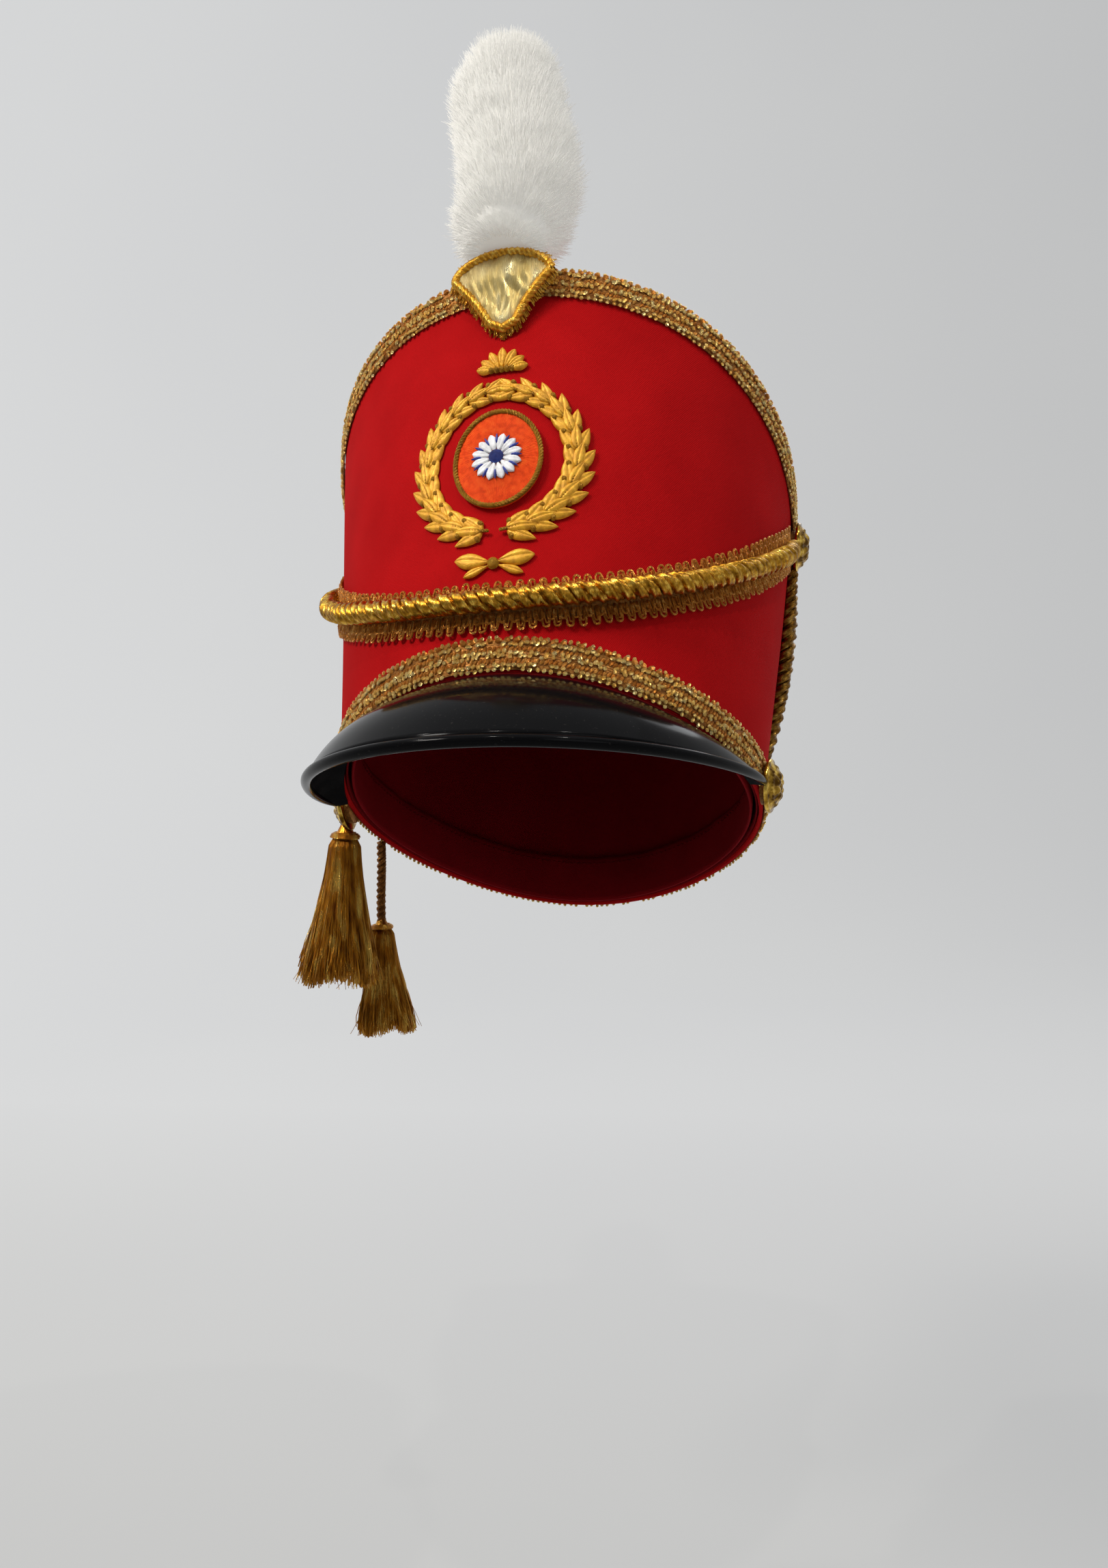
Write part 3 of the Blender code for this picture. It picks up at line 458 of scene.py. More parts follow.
def make_twill(name, shade, light, roughness=0.88):
    """Fine wool twill in UVs of metres: diagonal ribs, a little fuzz and mottling."""
    finish = Finish(name, shade, roughness, Specular_IOR_Level=0.05)
    mottle = finish.noise(38.0, 5.0)
    fleck = finish.noise(1500.0, 2.0)
    blend = finish.maths("ADD", finish.maths("MULTIPLY", mottle, 0.6),
                         finish.maths("MULTIPLY", fleck, 0.4))
    finish.paint(blend, ((0.32, shade), (0.68, light)))
    ribs = finish.waves(560.0, rotation=math.radians(58.0), warp=0.6)
    cross = finish.waves(900.0, rotation=math.radians(-20.0))
    weave = finish.maths("ADD", ribs, finish.maths("MULTIPLY", cross, 0.35))
    weave = finish.maths("ADD", weave, finish.maths("MULTIPLY", fleck, 0.8))
    finish.bump(weave, 0.00010, 0.8)
    return finish.material


def make_black(name, roughness, shine):
    """Black plastic: soft ripples, a few fine dust specks and scuffs."""
    finish = Finish(name, (0.004, 0.004, 0.005), roughness, IOR=shine)
    speck = finish.noise(900.0, 2.0)
    finish.paint(speck, ((0.66, (0.0035, 0.0035, 0.004)), (0.80, (0.022, 0.020, 0.019))))
    finish.rough(finish.noise(60.0, 4.0), 0.8 * roughness, 1.4 * roughness)
    finish.bump(finish.noise(28.0, 2.0), 0.0006, 0.25)
    return finish.material


def make_button_metal():
    finish = Finish("gold_button", (0.50, 0.29, 0.045), 0.16, 1.0)
    wear = finish.noise(260.0, 4.0)
    finish.paint(wear, ((0.38, (0.10, 0.045, 0.005)), (0.52, (0.42, 0.235, 0.030)),
                        (0.66, (0.92, 0.62, 0.12))))
    finish.rough(wear, 0.30, 0.14)
    finish.bump(finish.noise(1300.0, 2.0), 0.00005, 0.6)
    return finish.material


def make_lame():
    """Thin metallic cloth, crushed into small creases, its colour lighter on the raised crinkles and
    darker in the creases: painted highlight and shade.
    """
    finish = Finish("pale_lame", (0.78, 0.62, 0.28), 0.32, 0.75)
    crush_and_painted_shade = finish.noise(120.0, 6.0, stretch=(1.0, 1.0, 0.55))
    # Painted highlight and shade: the colour follows the crush relief, light on the crinkles and dark
    # in the creases.
    finish.paint(crush_and_painted_shade, ((0.30, (0.56, 0.41, 0.13)), (0.50, (0.80, 0.64, 0.28)),
                         (0.70, (1.00, 0.90, 0.55))))
    finish.rough(crush_and_painted_shade, 0.44, 0.24)
    threads = finish.waves(700.0, source="Object")
    finish.bump(finish.maths("ADD", finish.maths("MULTIPLY", crush_and_painted_shade, 4.0), threads),
                0.0005, 0.8)
    return finish.material


def make_down(name, low, high, glow):
    """Soft down, with a weak glow in place of the light that real down passes on."""
    finish = Finish(name, high, 0.95, Specular_IOR_Level=0.10,
                    Emission_Color=(1.0, 0.98, 0.93, 1.0), Emission_Strength=glow)
    finish.paint(finish.noise(130.0, 3.0), ((0.30, low), (0.65, high)))
    finish.bump(finish.noise(1200.0, 2.0), 0.0003, 0.3)
    return finish.material


def make_floor_finish():
    """Pale behind the cap and dimmer towards the camera, as in a darkened studio, its glow also
    falling off towards +X as a painted shadow.
    """
    finish = Finish("studio_grey", (0.22, 0.22, 0.22), 0.95, Specular_IOR_Level=0.02)
    coordinates = finish.nodes.new("ShaderNodeTexCoord")
    split = finish.node("ShaderNodeSeparateXYZ", Vector=coordinates.outputs["Object"])
    # The glow falls off towards +X: a painted shadow, darker on the wall to the right of the view.
    glow = finish.maths("MULTIPLY", finish.spread(split.outputs["Y"], 0.07, 0.50, -1.6, 1.0),
                        finish.spread(split.outputs["X"], 1.12, 0.80, -2.2, 1.0))
    finish.links.new(glow, finish.shader.inputs["Emission Strength"])
    finish.shader.inputs["Emission Color"].default_value = (0.98, 0.99, 1.0, 1.0)
    finish.paint(finish.noise(0.8, 2.0), ((0.35, (0.21, 0.21, 0.21)), (0.65, (0.23, 0.23, 0.225))))
    return finish.material


RED_TWILL = make_twill("red_twill", (0.370, 0.0032, 0.0044), (0.465, 0.0050, 0.0064))
# The lining's darker red, also put on the outer cloth's hem and its stitches inside the rim as
# painted shade.
RED_LINING_AND_HEM_SHADE = make_twill("red_lining_and_hem_shade", (0.150, 0.0018, 0.0040), (0.205, 0.0030, 0.0062))
CORD_GOLD = thread_finish(
    "gold_cord", (0.22, 0.100, 0.008), (0.54, 0.262, 0.024), (1.00, 0.66, 0.12),
    0.25, 1.0, 10.0, depth=0.00005, grain=0.25)
# The gold cord again, darkened as painted shade for the back cord on the cap's shaded sides.
CORD_GOLD_PAINTED_SHADE = thread_finish(
    "gold_cord_painted_shade", (0.10, 0.042, 0.006), (0.19, 0.088, 0.014), (0.46, 0.26, 0.06),
    0.26, 1.0, 10.0, depth=0.00005, grain=0.25)
EDGE_GOLD = thread_finish(
    "edge_gold", (0.56, 0.26, 0.022), (0.82, 0.43, 0.045), (1.00, 0.70, 0.15),
    0.28, 0.96, 10.0, depth=0.00005, grain=0.25)
BRAID_GOLD = thread_finish(
    "gold_braid", (0.84, 0.44, 0.08), (1.00, 0.68, 0.20), (1.00, 0.88, 0.46),
    0.31, 1.0, 20.0, colour_scale=300.0)
BRAID_COPPER = thread_finish(
    "copper_braid", (0.42, 0.135, 0.018), (0.68, 0.265, 0.045), (0.90, 0.46, 0.11),
    0.36, 0.90, 40.0, colour_scale=300.0)
TAPE_GOLD = thread_finish(
    "gold_tape", (0.16, 0.055, 0.010), (0.32, 0.125, 0.022), (0.50, 0.23, 0.05),
    0.42, 0.75, 900.0, colour_scale=900.0)
GIMP_GOLD = thread_finish(
    "gold_gimp", (0.42, 0.140, 0.018), (0.68, 0.265, 0.040), (0.95, 0.52, 0.13),
    0.28, 0.92, 60.0, depth=0.00006, grain=0.3)
TASSEL_GOLD = thread_finish(
    "gold_tassel", (0.22, 0.064, 0.005), (0.62, 0.255, 0.022), (1.00, 0.70, 0.16),
    0.27, 0.94, 8.0, colour_scale=260.0, stretch=(1.0, 1.0, 0.22), depth=0.00006)
EMBROIDERY_GOLD = thread_finish(
    "gold_embroidery", (0.500, 0.224, 0.0060), (0.680, 0.327, 0.0110), (0.850, 0.464, 0.0300),
    0.42, 0.30, 30.0, depth=0.00020)
EMBROIDERY_ORANGE = thread_finish(
    "orange_embroidery", (0.74, 0.046, 0.003), (0.94, 0.075, 0.005), (1.00, 0.115, 0.010),
    0.60, 0.0, 620.0, depth=0.00020, Specular_IOR_Level=0.15)
EMBROIDERY_WHITE = thread_finish(
    "white_embroidery", (0.62, 0.62, 0.64), (0.80, 0.80, 0.82), (0.90, 0.90, 0.92),
    0.45, 0.0, 30.0, depth=0.00020)
EMBROIDERY_BLUE = thread_finish(
    "blue_embroidery", (0.010, 0.020, 0.16), (0.016, 0.035, 0.28), (0.030, 0.070, 0.42),
    0.45, 0.05, 30.0, depth=0.00020)
BLACK_GLOSS = make_black("black_gloss", 0.12, 1.13)
BLACK_MATT = make_black("black_matt", 0.60, 1.08)
BUTTON_METAL = make_button_metal()
PALE_LAME = make_lame()
DOWN = make_down("white_down", (0.60, 0.59, 0.56), (0.63, 0.62, 0.59), 0.23)
DOWN_CORE = make_down("white_down_core", (0.60, 0.59, 0.56), (0.63, 0.62, 0.59), 0.23)

# Camera and light


def add_camera():
    data = bpy.data.cameras.new("photo_camera")
    data.lens = CAMERA_LENS
    data.sensor_width = CAMERA_SENSOR
    data.clip_start = 0.01
    forward = Vector(CAMERA_FORWARD).normalized()
    right = forward.cross(Vector(CAMERA_UP)).normalized()
    up = right.cross(forward)
    camera = bpy.data.objects.new("photo_camera", data)
    turn = Matrix((right, up, -forward)).transposed().to_4x4()
    camera.matrix_world = Matrix.Translation(CAMERA_PLACE) @ turn
    bpy.context.scene.collection.objects.link(camera)
    bpy.context.scene.camera = camera


def add_area_light(name, place, target, size, power, colour):
    data = bpy.data.lights.new(name, "AREA")
    data.shape = "DISK"
    data.size = size
    data.energy = power
    data.color = colour
    light = bpy.data.objects.new(name, data)
    light.location = place
    aim = Vector(target) - Vector(place)
    light.rotation_euler = aim.to_track_quat("-Z", "Y").to_euler()
    bpy.context.scene.collection.objects.link(light)


def add_studio():
    """A round pale floor that curves up into a wall, big enough to hold any view."""
    floor_z, radius, cove, height = -0.42, 3.2, 1.2, 3.4
    profile = [(0.001, floor_z), (1.0, floor_z), (radius - cove, floor_z)]
    for k in range(1, 13):
        a = 0.5 * math.pi * k / 12
        profile.append((radius - cove + cove * math.sin(a), floor_z + cove - cove * math.cos(a)))
    profile.append((radius, height))
    turn = even_turn(96)
    rings = np.array([
        np.stack([r * np.cos(turn), -r * np.sin(turn), np.full(96, z)], axis=-1)
        for r, z in profile
    ])
    shape = Shape()
    shape.grids(rings, wrap_columns=True)
    floor = shape.make("studio_floor", make_floor_finish(), leaned=False)
    world = bpy.data.worlds.new("studio_world")
    world.use_nodes = True
    background = world.node_tree.nodes["Background"]
    background.inputs["Color"].default_value = (0.96, 0.98, 1.0, 1.0)
    background.inputs["Strength"].default_value = 0.7
    bpy.context.scene.world = world
    bpy.context.scene.view_settings.view_transform = "Standard"
    middle = (0.0, 0.0, 0.08)
    warm, cool = (1.0, 0.96, 0.90), (0.95, 0.98, 1.0)
    add_area_light("key", (-0.75, -1.0, 1.25), middle, 0.45, 19.0, warm)
    add_area_light("fill", (1.5, -1.1, 0.6), middle, 1.1, 3.5, cool)
    add_area_light("rim", (0.5, 1.6, 1.3), middle, 0.9, 6.0, cool)
    for k, (x, y) in enumerate(((-0.9, -0.5), (0.15, -0.9), (0.9, -0.35), (-0.2, 0.9))):
        add_area_light(f"spot_{k}", (x, y, 1.5), middle, 0.05, 3.5, warm)


# Crown


def make_crown_cloth():
    """The cloth over the wall, with slight hollows, its lower hem turned inside."""
    columns, rows = 320, 44
    angle = even_turn(columns)
    low = edge_height(RIM_EDGE, angle)
    high = edge_height(TOP_EDGE, angle)
    share = np.linspace(0.0, 1.0, rows)[:, None]
    z = low + (high - low) * share
    settle = 0.00022 * np.sin(3.0 * angle + 4.0 * share) * np.sin(math.pi * share)
    settle = settle + 0.00012 * np.sin(11.0 * angle - 7.0 * share) * np.sin(math.pi * share)
    seam = np.exp(-((angle - math.pi) / 0.006) ** 2)
    welt = np.exp(-((np.abs(angle - math.pi) - 0.016) / 0.008) ** 2)
    outer = wall(angle, z, settle - 0.0005 * seam + 0.00022 * welt - 0.0001)
    inner_z = low + (high - low) * share[::-1]
    inner = wall(angle, inner_z, -WALL_THICKNESS + 0.0004)
    shape = Shape()
    around = np.concatenate([angle, [TAU]]) * 0.100
    rise = np.concatenate([share[:, 0], 1.0 + share[:, 0]]) * 0.17
    rings = np.concatenate([outer, inner])
    shape.grids(rings, u=np.concatenate([rise, [0.35]]), v=around,
                wrap_rows=True, wrap_columns=True)
    cloth = shape.make("crown_cloth", RED_TWILL)
    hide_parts("crown_wall")


def make_lining():
    """A hem of the outer cloth inside the rim, darkened to the lining's red as painted shade, and a
    darker lining above it.
    """
    columns = 256
    angle = even_turn(columns)
    low = edge_height(RIM_EDGE, angle)
    high = edge_height(TOP_EDGE, angle)
    around = np.concatenate([angle, [TAU]]) * 0.095
    tuck = 0.0003 * np.sin(17.0 * angle) + 0.0002 * np.sin(41.0 * angle + 1.0)

    rows = 30
    share = np.linspace(0.0, 1.0, rows)[:, None]
    z = low + 0.001 + (high - TOP_INSET - TOP_THICKNESS - low - 0.003) * share
    puff = 0.0006 * np.sin(math.pi * share) * (1.0 + np.sin(9.0 * angle))
    near = wall(angle, z, -WALL_THICKNESS - 0.0002)
    far = wall(angle, z[::-1], -WALL_THICKNESS - 0.0009 - puff[::-1])
    shape = Shape()
    shape.grids(np.concatenate([near, far]), u=np.linspace(0.0, 0.34, 2 * rows + 1),
                v=around, wrap_rows=True, wrap_columns=True)
    lining = shape.make("lining", RED_LINING_AND_HEM_SHADE)

    depth = 0.024
    rows = 12
    share = np.linspace(0.0, 1.0, rows)[:, None]
    z = low + 0.0006 + depth * share
    roll = 0.0004 * np.sin(math.pi * share)
    near = wall(angle, z, -WALL_THICKNESS - 0.0026 - tuck * share)
    far = wall(angle, z[::-1], -WALL_THICKNESS - 0.0036 - (tuck * share + roll)[::-1])
    shape = Shape()
    shape.grids(np.concatenate([near, far]), u=np.linspace(0.0, 0.05, 2 * rows + 1),
                v=around, wrap_rows=True, wrap_columns=True)
    # The hem is outer cloth, given the lining's darker red as painted shade inside the rim.
    hem = shape.make("rim_hem", RED_LINING_AND_HEM_SHADE)

    stitches = 210
    middle = TAU * (np.arange(stitches) + 0.5) / stitches
    reach = np.linspace(-0.30, 0.30, 5) * TAU / stitches
    at = middle[:, None] + reach
    lift = 0.0004 * np.cos(np.linspace(-0.5, 0.5, 5) * math.pi)
    z = edge_height(RIM_EDGE, at) + depth - 0.003
    paths = wall(at, z, -WALL_THICKNESS - 0.0039 - lift)
    rings = tube_points(paths, 0.00028, 6, -wall_normal(at, z))
    shape = Shape()
    shape.tubes(rings)
    # The hem's stitches take the lining's darker red too: painted shade.
    shape.make("hem_stitches", RED_LINING_AND_HEM_SHADE)


def make_crown_top():
    """The cloth over the top sags a little, and a corded piping closes its edge."""
    columns, rows = 256, 26
    angle = even_turn(columns)
    share = np.linspace(1.0, 0.004, rows)[:, None]
    edge = wall(angle, edge_height(TOP_EDGE, angle) - TOP_INSET, -WALL_THICKNESS - FIT_GAP)
    matching = np.arccos(np.clip(share * np.cos(angle), -1.0, 1.0))
    level = edge_height(TOP_EDGE, matching) - TOP_INSET
    sag = -0.0007 * (1.0 - share ** 2) * (1.0 + 0.4 * np.sin(5.0 * angle))
    top = np.stack([share * edge[:, 0], share * edge[:, 1], level + sag], axis=-1)
    under = top[::-1].copy()
    under[..., 2] = (level - TOP_THICKNESS + 0.0002)[::-1]
    shape = Shape()
    shape.grids(np.concatenate([top, under]), u=np.linspace(0.0, 0.2, 2 * rows + 1),
                v=np.concatenate([angle, [TAU]]) * 0.05, wrap_rows=True, wrap_columns=True)
    cloth = shape.make("crown_top_cloth", RED_TWILL)
    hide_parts("crown_top")
    fine = TAU * np.arange(481) / 480
    z = edge_height(TOP_EDGE, fine) - TOP_INSET + 0.0012
    path = wall(fine, z, -WALL_THICKNESS - 0.0014)
    shape = Shape()
    add_laid_cord(shape, path, -wall_normal(fine, z), 0.0022, 0.005, sides=6, plies=0,
                  ply_depth=0.0, step=0.0012, closed=True)
    shape.make("top_piping", GIMP_GOLD)


# Braid


def band_frame(edge, shift, count):
    """Even places along a band whose middle lies `shift` above an edge of the crown."""
    fine = np.linspace(0.0, TAU, 2881)
    rise = np.gradient(edge_height(edge, fine), fine)
    stretch = np.sqrt(1.0 + (rise / 0.1) ** 2)
    z = edge_height(edge, fine) + shift * stretch
    line = wall(fine, z)
    run = run_length(line)
    at = np.linspace(0.0, run[-1], count, endpoint=False)
    angle = np.interp(at, run, fine)
    middle = along_run(at, run, line)
    step = 0.0005
    before, after = (along_run((at + side * step) % run[-1], run, line) for side in (-1, 1))
    along = unit(after - before)
    normal = wall_normal(angle, middle[:, 2])
    normal = square_to(normal, along)
    across = np.cross(normal, along)
    return middle, along, across, normal, run[-1]


def add_lumps(shape, centre, direction, normal, half_length, radius, rolls, flatten=0.35):
    """Small beads of flat metal thread, each along its own direction."""
    shares = np.array([-1.0, -0.45, 0.45, 1.0])
    widths = np.array([0.40, 1.0, 1.0, 0.40])
    paths = centre[:, None, :] + direction[:, None, :] * (shares * half_length)[None, :, None]
    normals = np.repeat(normal[:, None, :], len(shares), axis=1)
    twist = np.repeat(rolls[:, None], len(shares), axis=1)
    reach = np.broadcast_to(widths * radius, paths.shape[:-1])
    rings = tube_points(paths, reach, 6, normals, twist=twist)
    flat = rings - paths[:, :, None, :]
    depth = np.sum(flat * normals[:, :, None, :], axis=-1, keepdims=True)
    rings = rings - flatten * depth * normals[:, :, None, :]
    shape.tubes(rings)


def make_braid(name, edge, shift, node, seed):
    """A tape under rows of coppery plait and bright knots, with knots along both edges."""
    rng = np.random.default_rng(seed)
    tape = Shape()
    middle, _, across, _, length = band_frame(edge, shift, 420)
    half = 0.5 * BRAID_WIDTH
    section = np.array([
        (-0.92, 0.35), (-0.92, 0.8), (-0.60, 1.0), (0.0, 1.0), (0.60, 1.0), (0.92, 0.8),
        (0.92, 0.35),
    ])
    rings = np.stack([
        press(middle + across * (h * half), out * 0.001) for h, out in section
    ], axis=1)
    around = np.concatenate([[0.0], np.cumsum(np.full(len(section), 0.0015))])
    tape.grids(rings[:, ::-1], u=np.linspace(0.0, length, 421), v=around,
               wrap_rows=True, wrap_columns=True)
    tape_item = tape.make(name + "_tape", TAPE_GOLD)

    plaits, knots = Shape(), Shape()
    for shape, pitch, rows, slants, half_length, radius, lift, spread in (
        (plaits, 0.0017, (0.0021, -0.0026), (62.0, 62.0), 0.00125, 0.00072, 0.00115, 0.10),
        (plaits, 0.0034, (0.0058,), (90.0,), 0.00120, 0.00135, 0.00100, 0.14),
        (knots, 0.0020, (0.0042, 0.0005, -0.0008, -0.0044), (25.0, 55.0, -40.0, 20.0),
         0.00100, 0.00084, 0.00160, 0.50),
        (knots, 0.0027, (-0.0061, 0.0066), (80.0, 80.0), 0.00080, 0.00080, 0.00115, 0.35),
    ):
        for row, slant in zip(rows, slants):
            count = int(round(length / pitch))
            middle, along, across, normal, _ = band_frame(edge, shift, count)
            drift = rng.normal(0.0, spread, (2, count)) * 0.00055
            shown = rng.uniform(size=count) > 0.35 * spread
            place = middle + along * drift[0][:, None] + across * (row + drift[1])[:, None]
            place = press(place, lift + rng.uniform(-0.5, 0.5, count) * spread * 0.0006)
            slant = math.radians(slant) + rng.normal(0.0, spread, count)
            direction = np.cos(slant)[:, None] * along + np.sin(slant)[:, None] * across
            direction = unit(direction + rng.normal(0.0, 0.5 * spread, count)[:, None] * normal)
            size = 1.0 + 0.5 * spread * rng.uniform(-1.0, 1.0)
            add_lumps(shape, place[shown], direction[shown], normal[shown],
                      half_length * size, radius, rng.uniform(0.0, TAU, count)[shown])
    plait = plaits.make(name + "_plait", BRAID_COPPER)
    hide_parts(node)
    knots.make(name + "_knots", BRAID_GOLD, smooth=False)


# Gimp and cords


def drape_end_angle():
    clearance = 0.5 * BUTTON_DIAMETER + BUTTON_CLEARANCE
    return UPPER_BUTTON_ANGLE - clearance / half_width(UPPER_BUTTON_HEIGHT)


def drape_line(count, out):
    """Even places along the drooping line, from the wearer's right to left."""
    end = drape_end_angle()
    fine = np.linspace(-end, end, 1441)
    line = wall(fine, drape_height(fine), out)
    run = run_length(line)
    at = np.linspace(0.0, run[-1], count)
    angle = np.interp(at, run, fine)
    middle = wall(angle, drape_height(angle), out)
    along = unit(np.gradient(middle, axis=0))
    normal = wall_normal(angle, drape_height(angle))
    normal = square_to(normal, along)
    return middle, along, np.cross(normal, along), normal, run[-1]


def make_gimp():
    """A strip, arches of thread past its edges, and a comb of narrower loops on it."""
    rng = np.random.default_rng(31)
    middle, _, across, _, length = drape_line(500, 0.0)
    section = ((-0.0064, 0.4), (-0.0064, 1.1), (-0.0030, 1.5), (0.0030, 1.5),
               (0.0064, 1.1), (0.0064, 0.4))
    rings = np.stack([press(middle + across * h, out * 0.001) for h, out in section], axis=1)
    strip = Shape()
    strip.tubes(rings[:, ::-1], u=np.linspace(0.0, length, 500), v=np.linspace(0.0, 0.03, 7))
    strip_item = strip.make("gimp_strip", TAPE_GOLD)
    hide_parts("front_gimp")

    loops = int(round(length / GIMP_LOOP_PITCH))
    middle, along, across, normal, _ = drape_line(8 * loops + 1, 0.0)
    shape = Shape()
    turn = np.linspace(0.0, math.pi, 9)
    full = 0.5 * GIMP_WIDTH
    for start, every, half, foot, reach, lift, thick in (
        (0, 8, 0.00112, 0.0022, full - 0.0003, 0.0010, 0.00050),
        (0, 8, 0.00046, 0.0009, full - 0.0016, 0.0013, 0.00034),
        (4, 8, 0.00080, 0.0013, 0.0072, 0.0014, 0.00046),
        (2, 4, 0.00040, 0.0005, 0.0064, 0.0011, 0.00040),
    ):
        x = np.concatenate([[-foot, -0.5 * (foot + half)], -half * np.cos(turn),
                            [0.5 * (foot + half), foot]])
        y = np.concatenate([[0.0030, 0.0050], reach - half + half * np.sin(turn),
                            [0.0050, 0.0030]])
        picked = slice(start, None, every)
        count = len(middle[picked])
        for side in (-1.0, 1.0):
            tilt = rng.normal(0.0, 0.08, count)[:, None]
            grow = 1.0 + rng.normal(0.0, 0.03, count)[:, None] - 0.03 * side
            move_x = x[None] + tilt * (y[None] - 0.003) * 0.6
            move_y = (0.003 + (y[None] - 0.003) * grow) * side
            flat = (middle[picked][:, None, :] + along[picked][:, None, :] * move_x[..., None]
                    + across[picked][:, None, :] * move_y[..., None])
            rise = lift + rng.uniform(-0.10, 0.25, count)[:, None] * 0.001
            rise = rise + 0.0004 * np.sin(np.linspace(0.0, math.pi, len(x)))[None]
            paths = press(flat, rise)
            outwards = np.repeat(normal[picked][:, None, :], len(x), axis=1)
            rings = tube_points(paths, thick, 6, outwards)
            shape.tubes(rings, u=np.linspace(0.0, 0.016, len(x)))
    loop_item = shape.make("gimp_loops", GIMP_GOLD)


def end_share(share):
    """0 along most of a cord, rising to 1 at its two ends."""
    t = np.clip((np.abs(2.0 * share - 1.0) - 0.84) / 0.16, 0.0, 1.0)
    return t * t * (3.0 - 2.0 * t)


def make_front_cord():
    """The cord over the gimp, drawn in and thinned a little at its two ends."""
    tuck = 0.0030 * end_share(np.linspace(0.0, 1.0, 600))
    out = 2.0 * FIT_GAP + GIMP_THICKNESS + 0.5 * CORD_DIAMETER
    middle, _, _, normal, _ = drape_line(600, out)
    shape = Shape()
    add_laid_cord(shape, middle - normal * tuck[:, None], normal, CORD_DIAMETER,
                  CORD_LAY_LENGTH, swell=lambda share: 1.0 - 0.18 * end_share(share))
    cord = shape.make("front_rope", CORD_GOLD)
    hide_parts("front_cord")


def make_back_cord():
    """A slack cord, steep below the upper buttons and flat at the back, its ends thinned."""
    high = UPPER_BUTTON_HEIGHT - 0.5 * BUTTON_DIAMETER - BUTTON_CLEARANCE
    angle = np.linspace(BACK_CORD_ANGLE, TAU - BACK_CORD_ANGLE, 1600)
    ends = end_share(np.linspace(0.0, 1.0, 1600))
    share = np.abs(math.pi - angle) / (math.pi - BACK_CORD_ANGLE)
    z = BACK_CORD_LOW + (high - BACK_CORD_LOW) * share ** BACK_CORD_FULLNESS
    z = z + BACK_CORD_END_RISE * ends ** 2
    path = wall(angle, z, 0.5 * CORD_DIAMETER - 0.0008 - 0.0016 * ends)
    shape = Shape()
    add_laid_cord(shape, path, wall_normal(angle, z), CORD_DIAMETER, CORD_LAY_LENGTH,
                  swell=lambda share: 1.0 - 0.40 * end_share(share))
    # The back cord takes the darker copy of the gold cord: painted shade.
    cord = shape.make("back_rope", CORD_GOLD_PAINTED_SHADE)
    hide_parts("back_cord")


# Buttons


def make_button(place_name, angle, height):
    """A domed button: rolled rim, beads, eight petals, and a coppery disc behind it."""
    angle = np.array(angle)
    z = np.array(height)
    normal = wall_normal(angle, z)
    seat = wall(angle, z) + normal * (2.0 * FIT_GAP + BRAID_THICKNESS)
    across = unit(np.cross(np.array([0.0, 0.0, 1.0]), normal))
    upward = np.cross(normal, across)
    radius = 0.5 * BUTTON_DIAMETER

    def place(x, y, rise):
        return (seat + across * x[..., None] + upward * y[..., None]
                + normal * rise[..., None])

    columns = 96
    turn = even_turn(columns)
    rim = ((0.55, 0.00), (0.93, 0.00), (0.985, 0.06), (1.00, 0.15), (0.99, 0.24), (0.95, 0.30),
           (0.90, 0.29), (0.87, 0.31))
    shares = [r for r, _ in rim] + list(np.linspace(0.84, 0.004, 26))
    rows = []
    for k, share in enumerate(shares):
        r = np.full(columns, share * radius)
        if k < len(rim):
            rise = np.full(columns, rim[k][1] * BUTTON_THICKNESS)
        else:
            dome = 0.36 + 0.56 * (1.0 - (share / 0.86) ** 2)
            petal = np.abs(np.cos(4.0 * turn)) ** 0.6
            leaf = np.exp(-((share - 0.42) / 0.17) ** 2) * petal
            bead = np.exp(-((share - 0.72) / 0.055) ** 2) * (0.5 + 0.5 * np.cos(32.0 * turn))
            boss = np.exp(-(share / 0.16) ** 2)
            groove = np.exp(-((share - 0.205) / 0.035) ** 2)
            rise = dome + 0.170 * leaf + 0.110 * bead + 0.080 * boss - 0.110 * groove
            rise = rise * BUTTON_THICKNESS * 0.93
        rows.append(place(r * np.cos(turn), r * np.sin(turn), rise))
    shape = Shape()
    shape.tubes(np.array(rows))
    button = shape.make("button_face_" + place_name, BUTTON_METAL)
    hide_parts("button_" + place_name)
    shank = Shape()
    ring = [place(0.0080 * np.cos(turn[::4]), 0.0080 * np.sin(turn[::4]), np.full(24, s))
            for s in (-0.0020, -0.0008, 0.0004)]
    shank.tubes(np.array(ring))
    shank.make("button_back_" + place_name, TAPE_GOLD)


# Peak


